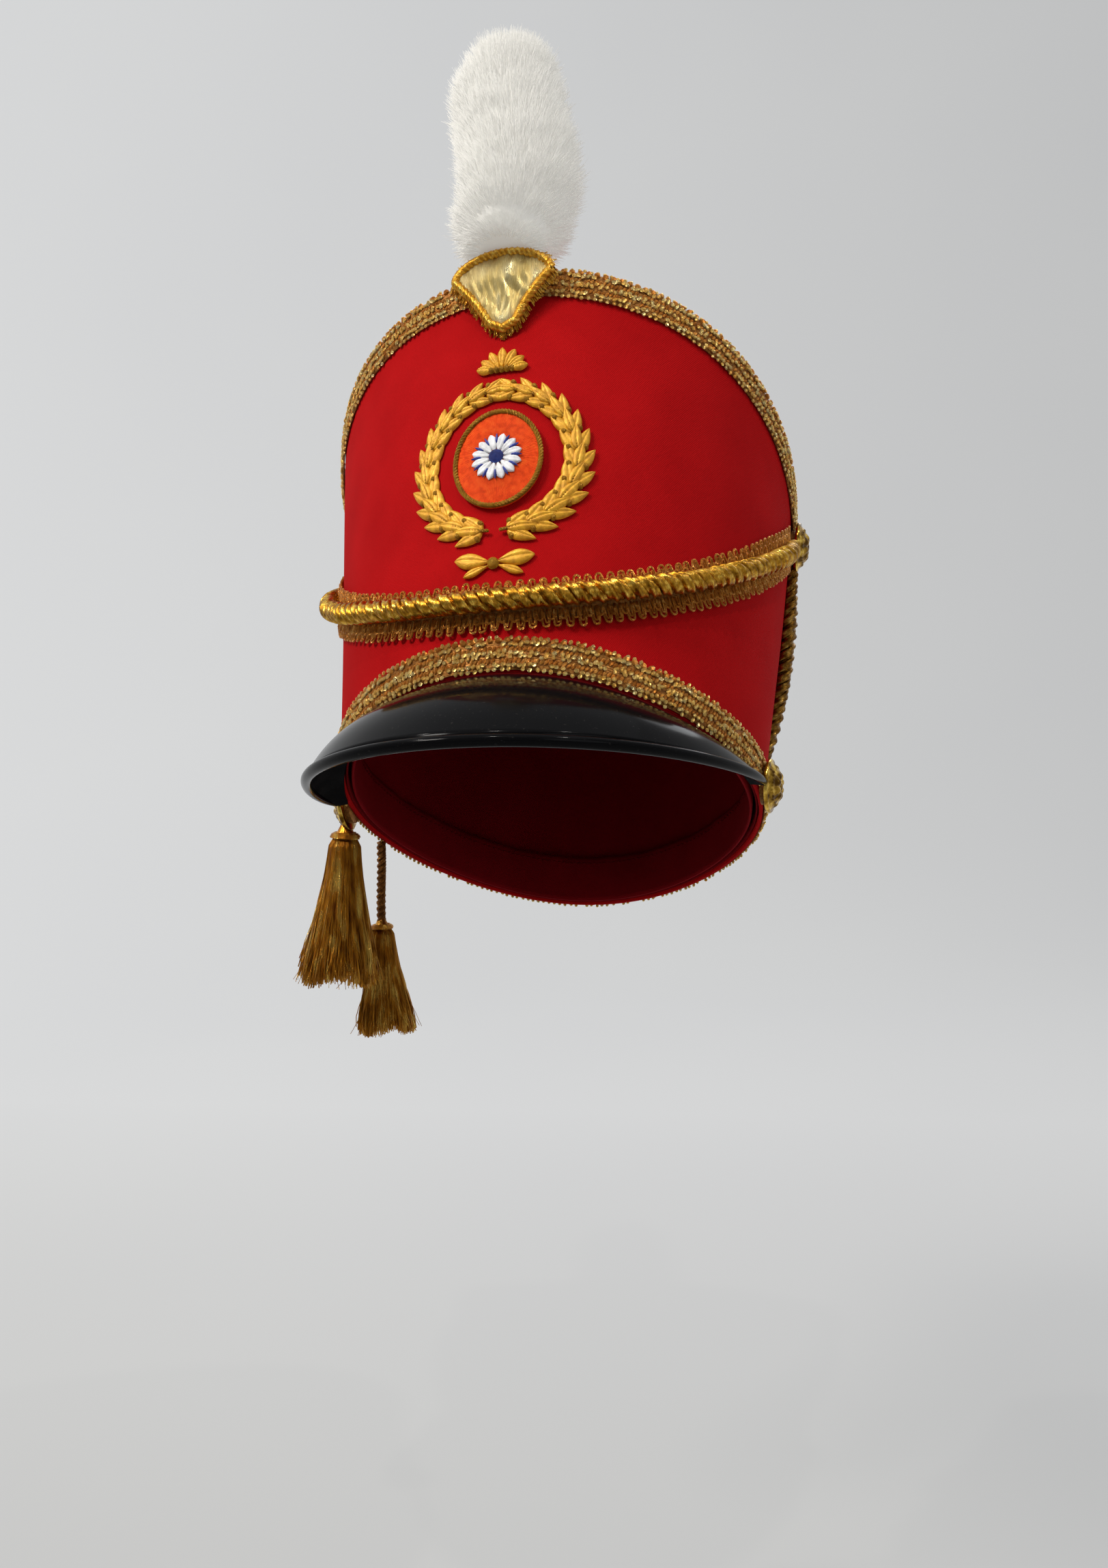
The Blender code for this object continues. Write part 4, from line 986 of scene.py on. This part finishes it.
def make_peak():
    """A glossy upper face that ends in a rolled rim, and a matt underside."""
    columns = 220
    sweep = np.linspace(-1.0, 1.0, columns)
    root_angle = sweep * PEAK_END_ANGLE
    root = wall(root_angle, edge_height(RIM_EDGE, root_angle) - FIT_GAP - 0.5 * PEAK_THICKNESS,
                -0.5 * WALL_THICKNESS)

    def edge_at(angle):
        back = -PEAK_REACH * np.maximum(0.0, np.cos(angle)) ** PEAK_EDGE_POINT
        return np.stack([PEAK_HALF_WIDTH * np.sin(angle), PEAK_CENTRE_BACK + back,
                         PEAK_EDGE_HEIGHT + PEAK_EDGE_SLOPE * back], axis=-1)

    angle = sweep * 0.5 * math.pi
    edge = edge_at(angle)
    outwards = unit(edge - root)
    along = unit(edge_at(angle + 0.01) - edge_at(angle - 0.01))
    upward = unit(np.cross(outwards, along))
    upward = np.where(upward[:, 2:] < 0.0, -upward, upward)
    half = 0.5 * PEAK_THICKNESS
    upper, lower, parting = [], [], []
    for share in np.linspace(0.0, 0.965, 22):
        crown = PEAK_CROWN * math.sin(math.pi * share) * np.cos(0.5 * math.pi * sweep)
        middle = root + (edge - root) * share + upward * crown[:, None]
        upper.append(middle + upward * half)
        parting.append(middle - upward * 0.3 * half)
        lower.append(middle - upward * half)
    rim = 0.5 * PEAK_BEAD_DIAMETER * (1.0 - 0.6 * np.abs(sweep) ** 8)[:, None]
    bead = [
        edge + rim * (outwards * math.cos(a) + upward * math.sin(a))
        for a in np.radians(np.linspace(150.0, -150.0, 15))
    ]
    shape = Shape()
    shape.tubes(np.stack(upper + bead + parting[::-1], axis=1))
    peak = shape.make("peak_shell", BLACK_GLOSS)
    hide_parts("peak")
    shape = Shape()
    shape.tubes(np.stack(parting[:-1] + lower[-2::-1], axis=1))
    shape.make("peak_underside", BLACK_MATT)


# Cockade


def cockade_outline(count, inset):
    """The fan's outline as (across, rise) pairs, anticlockwise from its right corner."""
    half = 0.5 * COCKADE_WIDTH
    corner = 0.70 * COCKADE_HEIGHT
    arch = COCKADE_HEIGHT - corner
    tip_half = 0.10 * COCKADE_WIDTH
    a = np.linspace(0.0, math.pi, count // 2)
    top = np.stack([half * np.cos(a), corner + arch * np.sin(a)], axis=-1)
    share = np.linspace(0.0, 1.0, count // 4)[1:]
    waist = half + (tip_half - half) * share - 0.06 * half * np.sin(math.pi * share)
    waist = waist * np.minimum(1.0, (1.0 - share) * 9.0)
    left = np.stack([-waist, corner * (1.0 - share)], axis=-1)
    right = np.stack([waist, corner * (1.0 - share)], axis=-1)[::-1]
    points = np.concatenate([top, left, right[1:]])
    middle = 0.6 * COCKADE_HEIGHT
    shrink = 1.0 - inset / (0.5 * COCKADE_HEIGHT)
    return np.stack([points[:, 0] * shrink, middle + (points[:, 1] - middle) * shrink], axis=-1)


def cockade_place(flat, out):
    z = COCKADE_TIP_HEIGHT + flat[..., 1]
    forward = COCKADE_LEAN * np.minimum(1.0, 1.6 * flat[..., 1] / COCKADE_HEIGHT)
    return wall(flat[..., 0] / half_width(z), z, FIT_GAP + forward + out)


def make_cockade():
    """Crushed cloth with upright folds, a laid cord round it and a short fringe."""
    rng = np.random.default_rng(47)
    outline = cockade_outline(240, 0.0016)
    hub = np.array([0.0, 0.30 * COCKADE_HEIGHT])
    rows = 36
    share = np.linspace(1.0, 0.01, rows)[:, None, None]
    flat = hub + (outline - hub) * share
    reach = share[..., 0]
    upright = flat[..., 0] * 2100.0 + 2.2 * np.sin(flat[..., 1] * 330.0)
    folds = 0.00026 * np.sin(upright) * np.minimum(1.0, 1.6 - 1.4 * reach)
    crease = np.zeros(flat.shape[:2])
    for _ in range(44):
        centre = rng.uniform((-0.017, 0.004), (0.017, 0.036))
        heading = rng.normal(0.5 * math.pi, 0.45)
        across = ((flat[..., 0] - centre[0]) * math.sin(heading)
                  - (flat[..., 1] - centre[1]) * math.cos(heading))
        length = ((flat[..., 0] - centre[0]) * math.cos(heading)
                  + (flat[..., 1] - centre[1]) * math.sin(heading))
        ridge = np.exp(-(across / 0.0011) ** 2 - (length / 0.0062) ** 2)
        crease += rng.choice((-1.0, 1.0)) * 0.00050 * ridge
    puff = 0.0008 * np.sin(math.pi * np.minimum(1.0, (1.0 - reach) * 1.3 + 0.1))
    front = cockade_place(flat, COCKADE_THICKNESS - 0.0014 + folds + crease + puff)
    back = cockade_place(flat[::-1], np.full(flat.shape[:2], 0.0002))
    shape = Shape()
    rings = np.concatenate([back, front[:1] * 0.5 + back[-1:] * 0.5, front])
    shape.tubes(rings)
    fan = shape.make("cockade_cloth", PALE_LAME)
    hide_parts("cockade")

    outline = cockade_outline(240, 0.0008)
    closed = np.concatenate([outline, outline[:1]])
    path = cockade_place(closed, np.full(len(closed), 0.0019))
    outwards = np.tile(wall_normal(np.array(0.0), np.array(COCKADE_TIP_HEIGHT)),
                       (len(closed), 1))
    shape = Shape()
    add_laid_cord(shape, path, outwards, 0.0040, 0.0066, step=0.0004, sides=12, plies=3,
                  ply_depth=0.16, closed=True)
    edge = shape.make("cockade_rope", EDGE_GOLD)
    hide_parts("cockade_cord")

    count = FRINGE_THREADS
    shape = Shape()
    run = run_length(np.concatenate([closed, np.zeros((len(closed), 1))], axis=1))
    at = rng.uniform(0.0, run[-1], count)
    root = along_run(at, run, closed)
    away = root - hub
    away = away / np.linalg.norm(away, axis=1, keepdims=True)
    down = np.array([0.0, -1.0])
    fall = unit(away * 0.55 + down * np.where(root[:, 1:] < 0.027, 0.75, 0.1))
    steps = np.linspace(0.0, 1.0, 5)
    span = rng.uniform(0.0020, 0.0040, count)
    flat = root[:, None, :] + fall[:, None, :] * (span[:, None] * steps)[..., None]
    lift = 0.0016 + rng.uniform(-0.0006, 0.0012, count)[:, None] - 0.0012 * steps[None]
    paths = cockade_place(flat, np.maximum(lift, 0.0003))
    normals = np.tile(outwards[0], (count, 5, 1))
    shape.tubes(tube_points(paths, FRINGE_THREAD_RADIUS, 5, normals))
    shape.make("cockade_fringe", EDGE_GOLD)


# Plume


def plume_place(points):
    """From the plume's own upright frame to the cap's."""
    out = 2.0 * FIT_GAP + BRAID_THICKNESS + 0.5 * PLUME_STEM_THICKNESS
    base = wall(np.array(0.0), np.array(PLUME_BASE_HEIGHT), out)
    c, s = math.cos(PLUME_FORWARD_LEAN), math.sin(PLUME_FORWARD_LEAN)
    x, y, z = points[..., 0], points[..., 1], points[..., 2]
    return base + np.stack([x, c * y - s * z, s * y + c * z], axis=-1)


def plume_radius(share, angle):
    """The down's outer radius: round, in soft uneven clumps."""
    radius = 0.5 * PLUME_DIAMETER * profile_at(PLUME_PROFILE, share)
    clump = np.cos(9.0 * (angle + 1.3 * share)) + 0.8 * np.cos(5.0 * angle + 17.0 * share)
    clump = clump + 0.7 * np.cos(3.0 * angle - 29.0 * share)
    return radius + 0.00085 * clump


def plume_even(share, angle):
    """The outer radius with its finer clumps evened out, four times over."""
    return sum(plume_radius(share, angle + math.radians(10.0 * k)) for k in range(4))


def plume_sway(share):
    return 0.004 * np.sin(TAU * share)


def make_plume():
    """A plain core on a flat stem, and two halves of fine down that stand out round it."""
    rng = np.random.default_rng(59)
    turn = even_turn(72)
    share = np.concatenate([np.linspace(0.0, 0.9, 46), [0.94, 0.965, 0.98]])[:, None]
    radius = np.maximum(0.25 * plume_even(share, turn) - PLUME_CORE_DEPTH, 0.0015)
    x = radius * np.cos(turn) + plume_sway(share)
    y = radius * np.sin(turn)
    z = -0.004 + share * (PLUME_LENGTH - 0.008) + 0.0 * turn
    core = Shape()
    core.tubes(plume_place(np.stack([x, y, z], axis=-1)))
    out = 2.0 * FIT_GAP + BRAID_THICKNESS
    heights = np.linspace(PLUME_BASE_HEIGHT - PLUME_STEM_LENGTH, PLUME_BASE_HEIGHT + 0.008, 8)
    half = 0.5 * PLUME_STEM_WIDTH / half_width(heights)
    corners = [(-1, 0.0), (1, 0.0), (1, PLUME_STEM_THICKNESS), (-1, PLUME_STEM_THICKNESS)]
    rings = np.stack([wall(side * half, heights, out + lift) for side, lift in corners], axis=1)
    core.tubes(rings[:, ::-1])
    body = core.make("plume_core", DOWN_CORE)
    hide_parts("plume")

    for name, low, high, count in (
        ("plume_down_lower", -0.06, 0.50, 20000), ("plume_down_upper", 0.48, 1.0, 20500),
    ):
        share = rng.uniform(low, high, count)
        if high == 1.0:
            tip = rng.uniform(size=count) < 0.14
            share = np.where(tip, rng.uniform(0.90, 1.0, count), share)
        inner = np.clip(share, 0.0, 1.0)
        angle = rng.uniform(0.0, TAU, count)
        full = 0.20 * plume_even(inner, angle) + 0.20 * plume_radius(inner, angle)
        root_radius = np.maximum(full - DOWN_ROOT_DEPTH, 0.0) * np.sqrt(rng.uniform(0.55, 1.0, count))
        rising = np.clip((inner - 0.86) / 0.14, 0.0, 1.0)
        length = rng.uniform(*DOWN_LENGTHS, count) * (1.0 - 0.15 * rising)
        clump = np.round(angle * 26.0 + 40.0 * np.sin(31.0 * inner)) / 26.0
        heading = angle + 0.08 * np.sin(clump * 57.0) + rng.normal(0.0, 0.16, count)
        lift = 0.45 + 0.45 * np.clip(inner / 0.5, 0.0, 1.0) + 0.28 * rising
        lift = lift + rng.normal(0.0, 0.16, count)
        hang = np.where(np.sin(angle) > -0.1, 2.1, 0.7)
        lift = lift - hang * np.clip((0.06 - share) / 0.10, 0.0, 1.0)
        rows = np.array([0.0, 0.5, 1.0])
        out = outward(heading)
        upward = np.array([0.0, 0.0, 1.0])
        flat = np.cos(lift)[:, None] * out + np.sin(lift)[:, None] * upward
        curl = rng.normal(0.0, 0.16, (count, 3)) + np.array([0.0, 0.0, 0.15])
        root = np.stack([
            root_radius * np.cos(angle) + plume_sway(inner),
            root_radius * np.sin(angle),
            0.0015 + share * (PLUME_LENGTH - 0.0165),
        ], axis=-1)
        path = (root[:, None, :] + (length[:, None] * rows)[..., None] * flat[:, None, :]
                + (length[:, None] * rows ** 2)[..., None] * 0.45 * curl[:, None, :])
        width = rng.uniform(0.00016, 0.00028, count)[:, None] * np.array([1.0, 0.8, 0.20])
        rings = tube_points(plume_place(path), width, 3, np.roll(curl, 1, axis=1)[:, None, :]
                            + 0.01 * np.ones((count, 3, 3)))
        shape = Shape()
        shape.grids(rings, wrap_columns=True, cap_end=True)
        shape.make(name, DOWN)


# Badge


def badge_place(flat, out):
    z = BADGE_CENTRE_HEIGHT + flat[..., 1]
    return wall(flat[..., 0] / half_width(z), z, BADGE_SEAT + out)


def add_satin_leaf(shape, foot, heading, length, width, thickness, bend=0.0, split=True,
                   rows=22, columns=14, base_out=0.0, pinch=0.75):
    """A leaf of satin stitch: a padded form with a vein and slanted thread ridges."""
    t = np.linspace(0.0, 1.0, rows)[:, None]
    s = np.linspace(-1.0, 1.0, columns)
    shape_width = np.sin(math.pi * np.clip(t, 0.0, 1.0) ** pinch) ** 0.8
    half = 0.5 * width * np.maximum(shape_width, 0.06)
    along = length * t
    curve = bend * length * t ** 2
    x = s * half + curve
    slant = along + 0.0 * s
    c, d = math.cos(heading), math.sin(heading)
    flat = np.stack([foot[0] + slant * c - x * d, foot[1] + slant * d + x * c], axis=-1)
    pad = np.sqrt(np.maximum(0.0, 1.0 - s ** 2)) * np.maximum(shape_width, 0.06) ** 0.5
    ridges = 0.10 * np.sin((along / 0.00062 - np.abs(s) * half / 0.00062) * TAU * 0.5)
    vein = 0.38 * np.exp(-(s / 0.16) ** 2) if split else 0.0
    out = base_out + thickness * np.clip(pad * (1.0 - vein) * (0.92 + ridges), 0.02, 1.05)
    front = badge_place(flat, out)
    back = badge_place(flat[:, ::-1], np.full(flat.shape[:2], base_out))
    rings = np.concatenate([front, back], axis=1)
    shape.tubes(rings[:, ::-1], u=np.linspace(0.0, length, rows),
                v=np.linspace(0.0, 2.0 * width, 2 * columns + 1))


def make_wreath():
    """Two laurel branches that rise from the bow and nearly meet above."""
    shape = Shape()
    middle_x = 0.5 * BADGE_WIDTH - 0.5 * WREATH_BAND
    middle_y = 0.5 * BADGE_HEIGHT - 0.5 * WREATH_BAND
    pairs = 12
    for side in (-1.0, 1.0):
        stem = np.linspace(math.radians(4.0), math.radians(172.0), 80)
        flat = np.stack([side * middle_x * np.sin(stem), -middle_y * np.cos(stem)], axis=-1)
        path = badge_place(flat, np.full(80, 0.0010))
        normal = wall_normal(flat[:, 0] / RIM_HALF_WIDTH, BADGE_CENTRE_HEIGHT + flat[:, 1])
        add_laid_cord(shape, path, normal, 0.0016, 0.004, sides=8, plies=0, ply_depth=0.0,
                      step=0.0006)
        for k in range(pairs):
            a = math.radians(9.0 + 160.0 * k / (pairs - 1))
            foot = (side * middle_x * math.sin(a), -middle_y * math.cos(a))
            ahead = math.atan2(middle_y * math.sin(a), side * middle_x * math.cos(a))
            grow = 1.0 - 0.22 * (k / (pairs - 1)) ** 2
            for splay, long, wide, rise in (
                (0.62, 0.0132, 0.0060, 0.0), (-0.62, 0.0122, 0.0056, 0.0),
                (0.04, 0.0128, 0.0052, 0.0006),
            ):
                bend = -0.10 * side * math.copysign(1, splay)
                add_satin_leaf(shape, foot, ahead + side * splay, long * grow, wide * grow,
                               WREATH_THICKNESS - 0.0006, bend=bend, base_out=rise)
            for splay in (-1.15, 1.15):
                x = foot[0] + 0.0036 * math.cos(ahead + splay)
                y = foot[1] + 0.0036 * math.sin(ahead + splay)
                add_dome(shape, (x, y), 0.0013, 0.0018)
    wreath = shape.make("wreath_embroidery", EMBROIDERY_GOLD)
    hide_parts("badge_wreath")


def add_dome(shape, centre, radius, rise, base_out=0.0, rows=7, columns=18, stretch=1.0):
    """A padded spot of satin stitch."""
    turn = even_turn(columns)
    share = np.linspace(1.0, 0.02, rows)[:, None]
    flat = np.stack([centre[0] + radius * share * np.sin(turn) * stretch,
                     centre[1] - radius * share * np.cos(turn)], axis=-1)
    out = base_out + rise * np.sqrt(np.maximum(0.0, 1.0 - share ** 2)) + 0.0 * turn
    rings = np.concatenate([badge_place(flat[:1], np.full((1, columns), base_out)),
                            badge_place(flat, out)])
    shape.tubes(rings)


def make_medallion():
    """An oval field of vertical satin stitch inside a corded border."""
    columns, rows = 120, 26
    turn = even_turn(columns)
    share = np.linspace(1.0, 0.01, rows)[:, None]
    flat = np.stack([0.5 * MEDALLION_WIDTH * share * np.sin(turn),
                     -0.5 * MEDALLION_HEIGHT * share * np.cos(turn)], axis=-1)
    pad = 0.0010 + 0.0009 * np.sqrt(np.maximum(0.0, 1.0 - share ** 2))
    ridges = 0.00010 * np.sin(flat[..., 0] / 0.00065 * TAU)
    out = pad + ridges
    rings = np.concatenate([badge_place(flat[:1], np.zeros((1, columns))),
                            badge_place(flat, out)])
    shape = Shape()
    shape.tubes(rings, u=np.linspace(0.0, 0.02, rows + 1),
                v=np.linspace(0.0, 0.1, columns + 1))
    field = shape.make("medallion_field", EMBROIDERY_ORANGE)
    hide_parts("badge_medallion")

    turn = np.linspace(0.0, TAU, 241)
    flat = np.stack([(0.5 * MEDALLION_WIDTH - 0.0006) * np.sin(turn),
                     -(0.5 * MEDALLION_HEIGHT - 0.0006) * np.cos(turn)], axis=-1)
    path = badge_place(flat, np.full(len(turn), 0.0015))
    normal = wall_normal(flat[:, 0] / RIM_HALF_WIDTH, BADGE_CENTRE_HEIGHT + flat[:, 1])
    shape = Shape()
    add_laid_cord(shape, path, normal, 0.0022, 0.0042, sides=8, plies=3, ply_depth=0.08,
                  step=0.0004, closed=True)
    shape.make("medallion_border", EMBROIDERY_GOLD)


def make_rosette():
    """A white rosette of two rings of petals round a blue eye."""
    base = MEDALLION_THICKNESS - 0.0008
    white, blue = Shape(), Shape()
    for k in range(12):
        heading = TAU * (k + 0.5) / 12
        add_satin_leaf(white, (0.0014 * math.cos(heading), 0.0014 * math.sin(heading)), heading,
                       0.5 * ROSETTE_DIAMETER - 0.0016, 0.0040, 0.0012, base_out=base,
                       rows=16, columns=10, pinch=1.6)
    for k in range(12):
        heading = TAU * k / 12
        add_satin_leaf(blue, (0.0058 * math.cos(heading), 0.0058 * math.sin(heading)), heading,
                       0.0044, 0.0011, 0.0010, base_out=base + 0.0004, rows=10, columns=6)
    add_dome(blue, (0.0, 0.0), 0.0030, 0.0013, base_out=base + 0.0005, rows=9, columns=28)
    rosette = white.make("rosette_petals", EMBROIDERY_WHITE)
    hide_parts("badge_rosette")
    blue.make("rosette_eye", EMBROIDERY_BLUE)


def make_crest():
    """A palmette of seven padded leaves on a short bar."""
    shape = Shape()
    foot = 0.5 * BADGE_HEIGHT + FIT_GAP + 0.0012
    for k in range(7):
        heading = math.radians(90.0 + 27.0 * (k - 3))
        reach = CREST_HEIGHT * (0.86 + 0.10 * math.cos(2.0 * (heading - 0.5 * math.pi)))
        add_satin_leaf(shape, (0.0009 * (3 - k), foot), heading, reach * 0.94, 0.0042,
                       WREATH_THICKNESS - 0.0004, pinch=1.25)
    for k in range(5):
        add_dome(shape, (0.0022 * (k - 2), foot), 0.0013, 0.0019)
    crest = shape.make("crest_embroidery", EMBROIDERY_GOLD)
    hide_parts("badge_crest")


def make_bow():
    """A ribbon bow in satin stitch: two loops, two tails and a knot."""
    shape = Shape()
    middle = -0.5 * BADGE_HEIGHT - FIT_GAP - 0.5 * BOW_HEIGHT
    for side in (-1.0, 1.0):
        heading = 0.5 * math.pi - side * 0.5 * math.pi
        add_satin_leaf(shape, (side * 0.0008, middle + 0.0006), heading + side * 0.16, 0.0155,
                       0.0068, 0.0017, pinch=1.35)
        add_satin_leaf(shape, (side * 0.0008, middle - 0.0004), heading - side * 0.36, 0.0120,
                       0.0036, 0.0012, pinch=1.6)
    add_dome(shape, (0.0, middle), 0.0024, 0.0021, rows=9, columns=24)
    bow = shape.make("bow_embroidery", EMBROIDERY_GOLD)
    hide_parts("badge_bow")


# Tassels


def make_tassel(name, node, size, seed):
    """A rounded, bound head that widens into a skirt of fine threads in loose locks."""
    rng = np.random.default_rng(seed)
    top, tassel_length, skirt_diameter, sway = size
    start = np.array(top)
    c, s = math.cos(sway), math.sin(sway)

    def place(points):
        x, y, z = points[..., 0], points[..., 1], points[..., 2]
        return start + np.stack([c * x + s * z, y, -s * x + c * z], axis=-1)

    def radius_at(share):
        return 0.5 * skirt_diameter * profile_at(TASSEL_PROFILE, share)

    turn = even_turn(40)
    share = np.linspace(-0.075, 0.93, 40)[:, None]
    head = np.sqrt(np.clip((share + 0.077) / 0.075, 0.02, 1.0))
    inside = 0.80 + 0.24 * np.clip((0.05 - share) / 0.05, 0.0, 1.0)
    radius = radius_at(np.clip(share, 0.0, 1.0)) * head * inside + 0.0 * turn
    rings = np.stack([radius * np.cos(-turn), radius * np.sin(-turn),
                      -share * tassel_length + 0.0 * turn], axis=-1)
    core = Shape()
    core.tubes(place(rings))
    inner = core.make(name + "_core", TASSEL_GOLD, leaned=False)

    count, rows = TASSEL_THREADS, 11
    angle = rng.uniform(0.0, TAU, count)
    depth = np.where(rng.uniform(size=count) < 0.70, rng.uniform(0.90, 1.0, count),
                     np.sqrt(rng.uniform(0.0, 0.90, count)))[:, None]
    t = np.linspace(0.004, 1.0, rows)[None, :] * rng.uniform(0.90, 1.0, count)[:, None]
    ragged = 1.0 + 0.035 * np.sin(3.0 * angle + seed) + rng.normal(0.0, 0.010, count)
    lock = np.cos(8.0 * angle)[:, None] * 0.04 + np.cos(19.0 * angle + 1.0)[:, None] * 0.045
    loose = np.clip((t - 0.24) / 0.76, 0.0, 1.0)
    radius = radius_at(t) * (depth + lock * loose * depth) - 0.0002
    swing = angle[:, None] + loose * (rng.normal(0.0, 0.10, count)[:, None]
                                      + 0.10 * np.sin(8.0 * angle)[:, None])
    wave = rng.normal(0.0, 0.00042, (count, 1)) * np.sin(t * rng.uniform(5.0, 11.0, (count, 1)))
    x = radius * np.cos(swing) + wave * loose * 2.0
    y = radius * np.sin(swing) + wave[::-1] * loose * 2.0
    z = -t * tassel_length * np.minimum(ragged[:, None], 1.03)
    paths = place(np.stack([x, y, z], axis=-1))
    outwards = outward(swing)
    thick = rng.uniform(0.00021, 0.00034, count)[:, None] * np.ones((1, rows))
    rings = tube_points(paths, thick, 3, outwards, twist=rng.uniform(0, TAU, count)[:, None]
                        + 0.0 * t)
    threads = Shape()
    threads.tubes(rings)
    skirt = threads.make(name + "_threads", TASSEL_GOLD, leaned=False)
    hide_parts(node)

    strays, rows = TASSEL_STRAYS, 9
    angle = rng.uniform(0.0, TAU, strays)
    t = np.linspace(0.0, 1.0, rows)[None, :]
    begin = rng.uniform(0.45, 0.85, strays)[:, None]
    fall = begin + t * (1.0 - begin)
    radius = radius_at(fall) + 0.0040 * t ** 2 * rng.uniform(0.2, 1.0, strays)[:, None]
    swing = angle[:, None] + 0.5 * t * rng.normal(0.0, 0.6, strays)[:, None]
    paths = place(np.stack([radius * np.cos(swing), radius * np.sin(swing),
                            -fall * tassel_length], axis=-1))
    outwards = outward(swing)
    loose_shape = Shape()
    loose_shape.tubes(tube_points(paths, 0.00013, 3, outwards))
    loose_shape.make(name + "_strays", TASSEL_GOLD, leaned=False)

    turns = 4
    a = np.linspace(0.0, TAU * turns, 60 * turns)
    share = 0.006 + 0.034 * a / a[-1]
    reach = radius_at(share) + 0.0002
    path = place(np.stack([reach * np.cos(a), reach * np.sin(a), -share * tassel_length], -1))
    outwards = outward(a)
    bind = Shape()
    bind.tubes(tube_points(path, 0.00052, 7, outwards), u=np.linspace(0.0, 0.2, len(a)))
    binding = bind.make(name + "_binding", TASSEL_GOLD, leaned=False)
    return [inner, skirt, binding]


def make_rear_tassel():
    """A thin cord from the rim and the tassel that hangs on it."""
    rim = edge_height(RIM_EDGE, np.array(REAR_CORD_ANGLE)) - REAR_CORD_DROP
    begin = lean(wall(REAR_CORD_ANGLE, rim))
    end = np.array(REAR_TASSEL[0]) + np.array([0.0, 0.0, FIT_GAP])
    share = np.linspace(0.0, 1.0, 60)[:, None]
    sideways = 0.5 - 0.5 * np.cos(math.pi * share)
    route = begin + (end - begin) * np.concatenate([sideways, sideways, share], axis=1)
    outwards = np.tile(np.array([-1.0, 0.0, 0.0]), (len(route), 1))
    shape = Shape()
    add_laid_cord(shape, route, outwards, TASSEL_CORD_DIAMETER, 0.0090, sides=10, plies=3,
                  step=0.0005)
    cord = shape.make("tassel_rope", TAPE_GOLD, leaned=False)
    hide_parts("tassel_cord_rear")
    pieces = make_tassel("rear_tassel", "tassel_rear", REAR_TASSEL, 83)


add_camera()
add_studio()
make_rear_tassel()
make_tassel("front_tassel", "tassel_front", FRONT_TASSEL, 71)
make_crown_cloth()
make_lining()
make_crown_top()
make_braid("top_braid", TOP_EDGE, -0.5 * BRAID_WIDTH, "top_braid", 11)
make_braid("rim_braid", RIM_EDGE, 0.5 * BRAID_WIDTH, "rim_braid", 17)
make_gimp()
make_front_cord()
make_back_cord()
for side_name, side in (("left", 1.0), ("right", -1.0)):
    make_button("upper_" + side_name, side * UPPER_BUTTON_ANGLE, UPPER_BUTTON_HEIGHT)
    make_button("lower_" + side_name, side * LOWER_BUTTON_ANGLE, LOWER_BUTTON_HEIGHT)
make_peak()
make_cockade()
make_plume()
make_wreath()
make_medallion()
make_rosette()
make_crest()
make_bow()
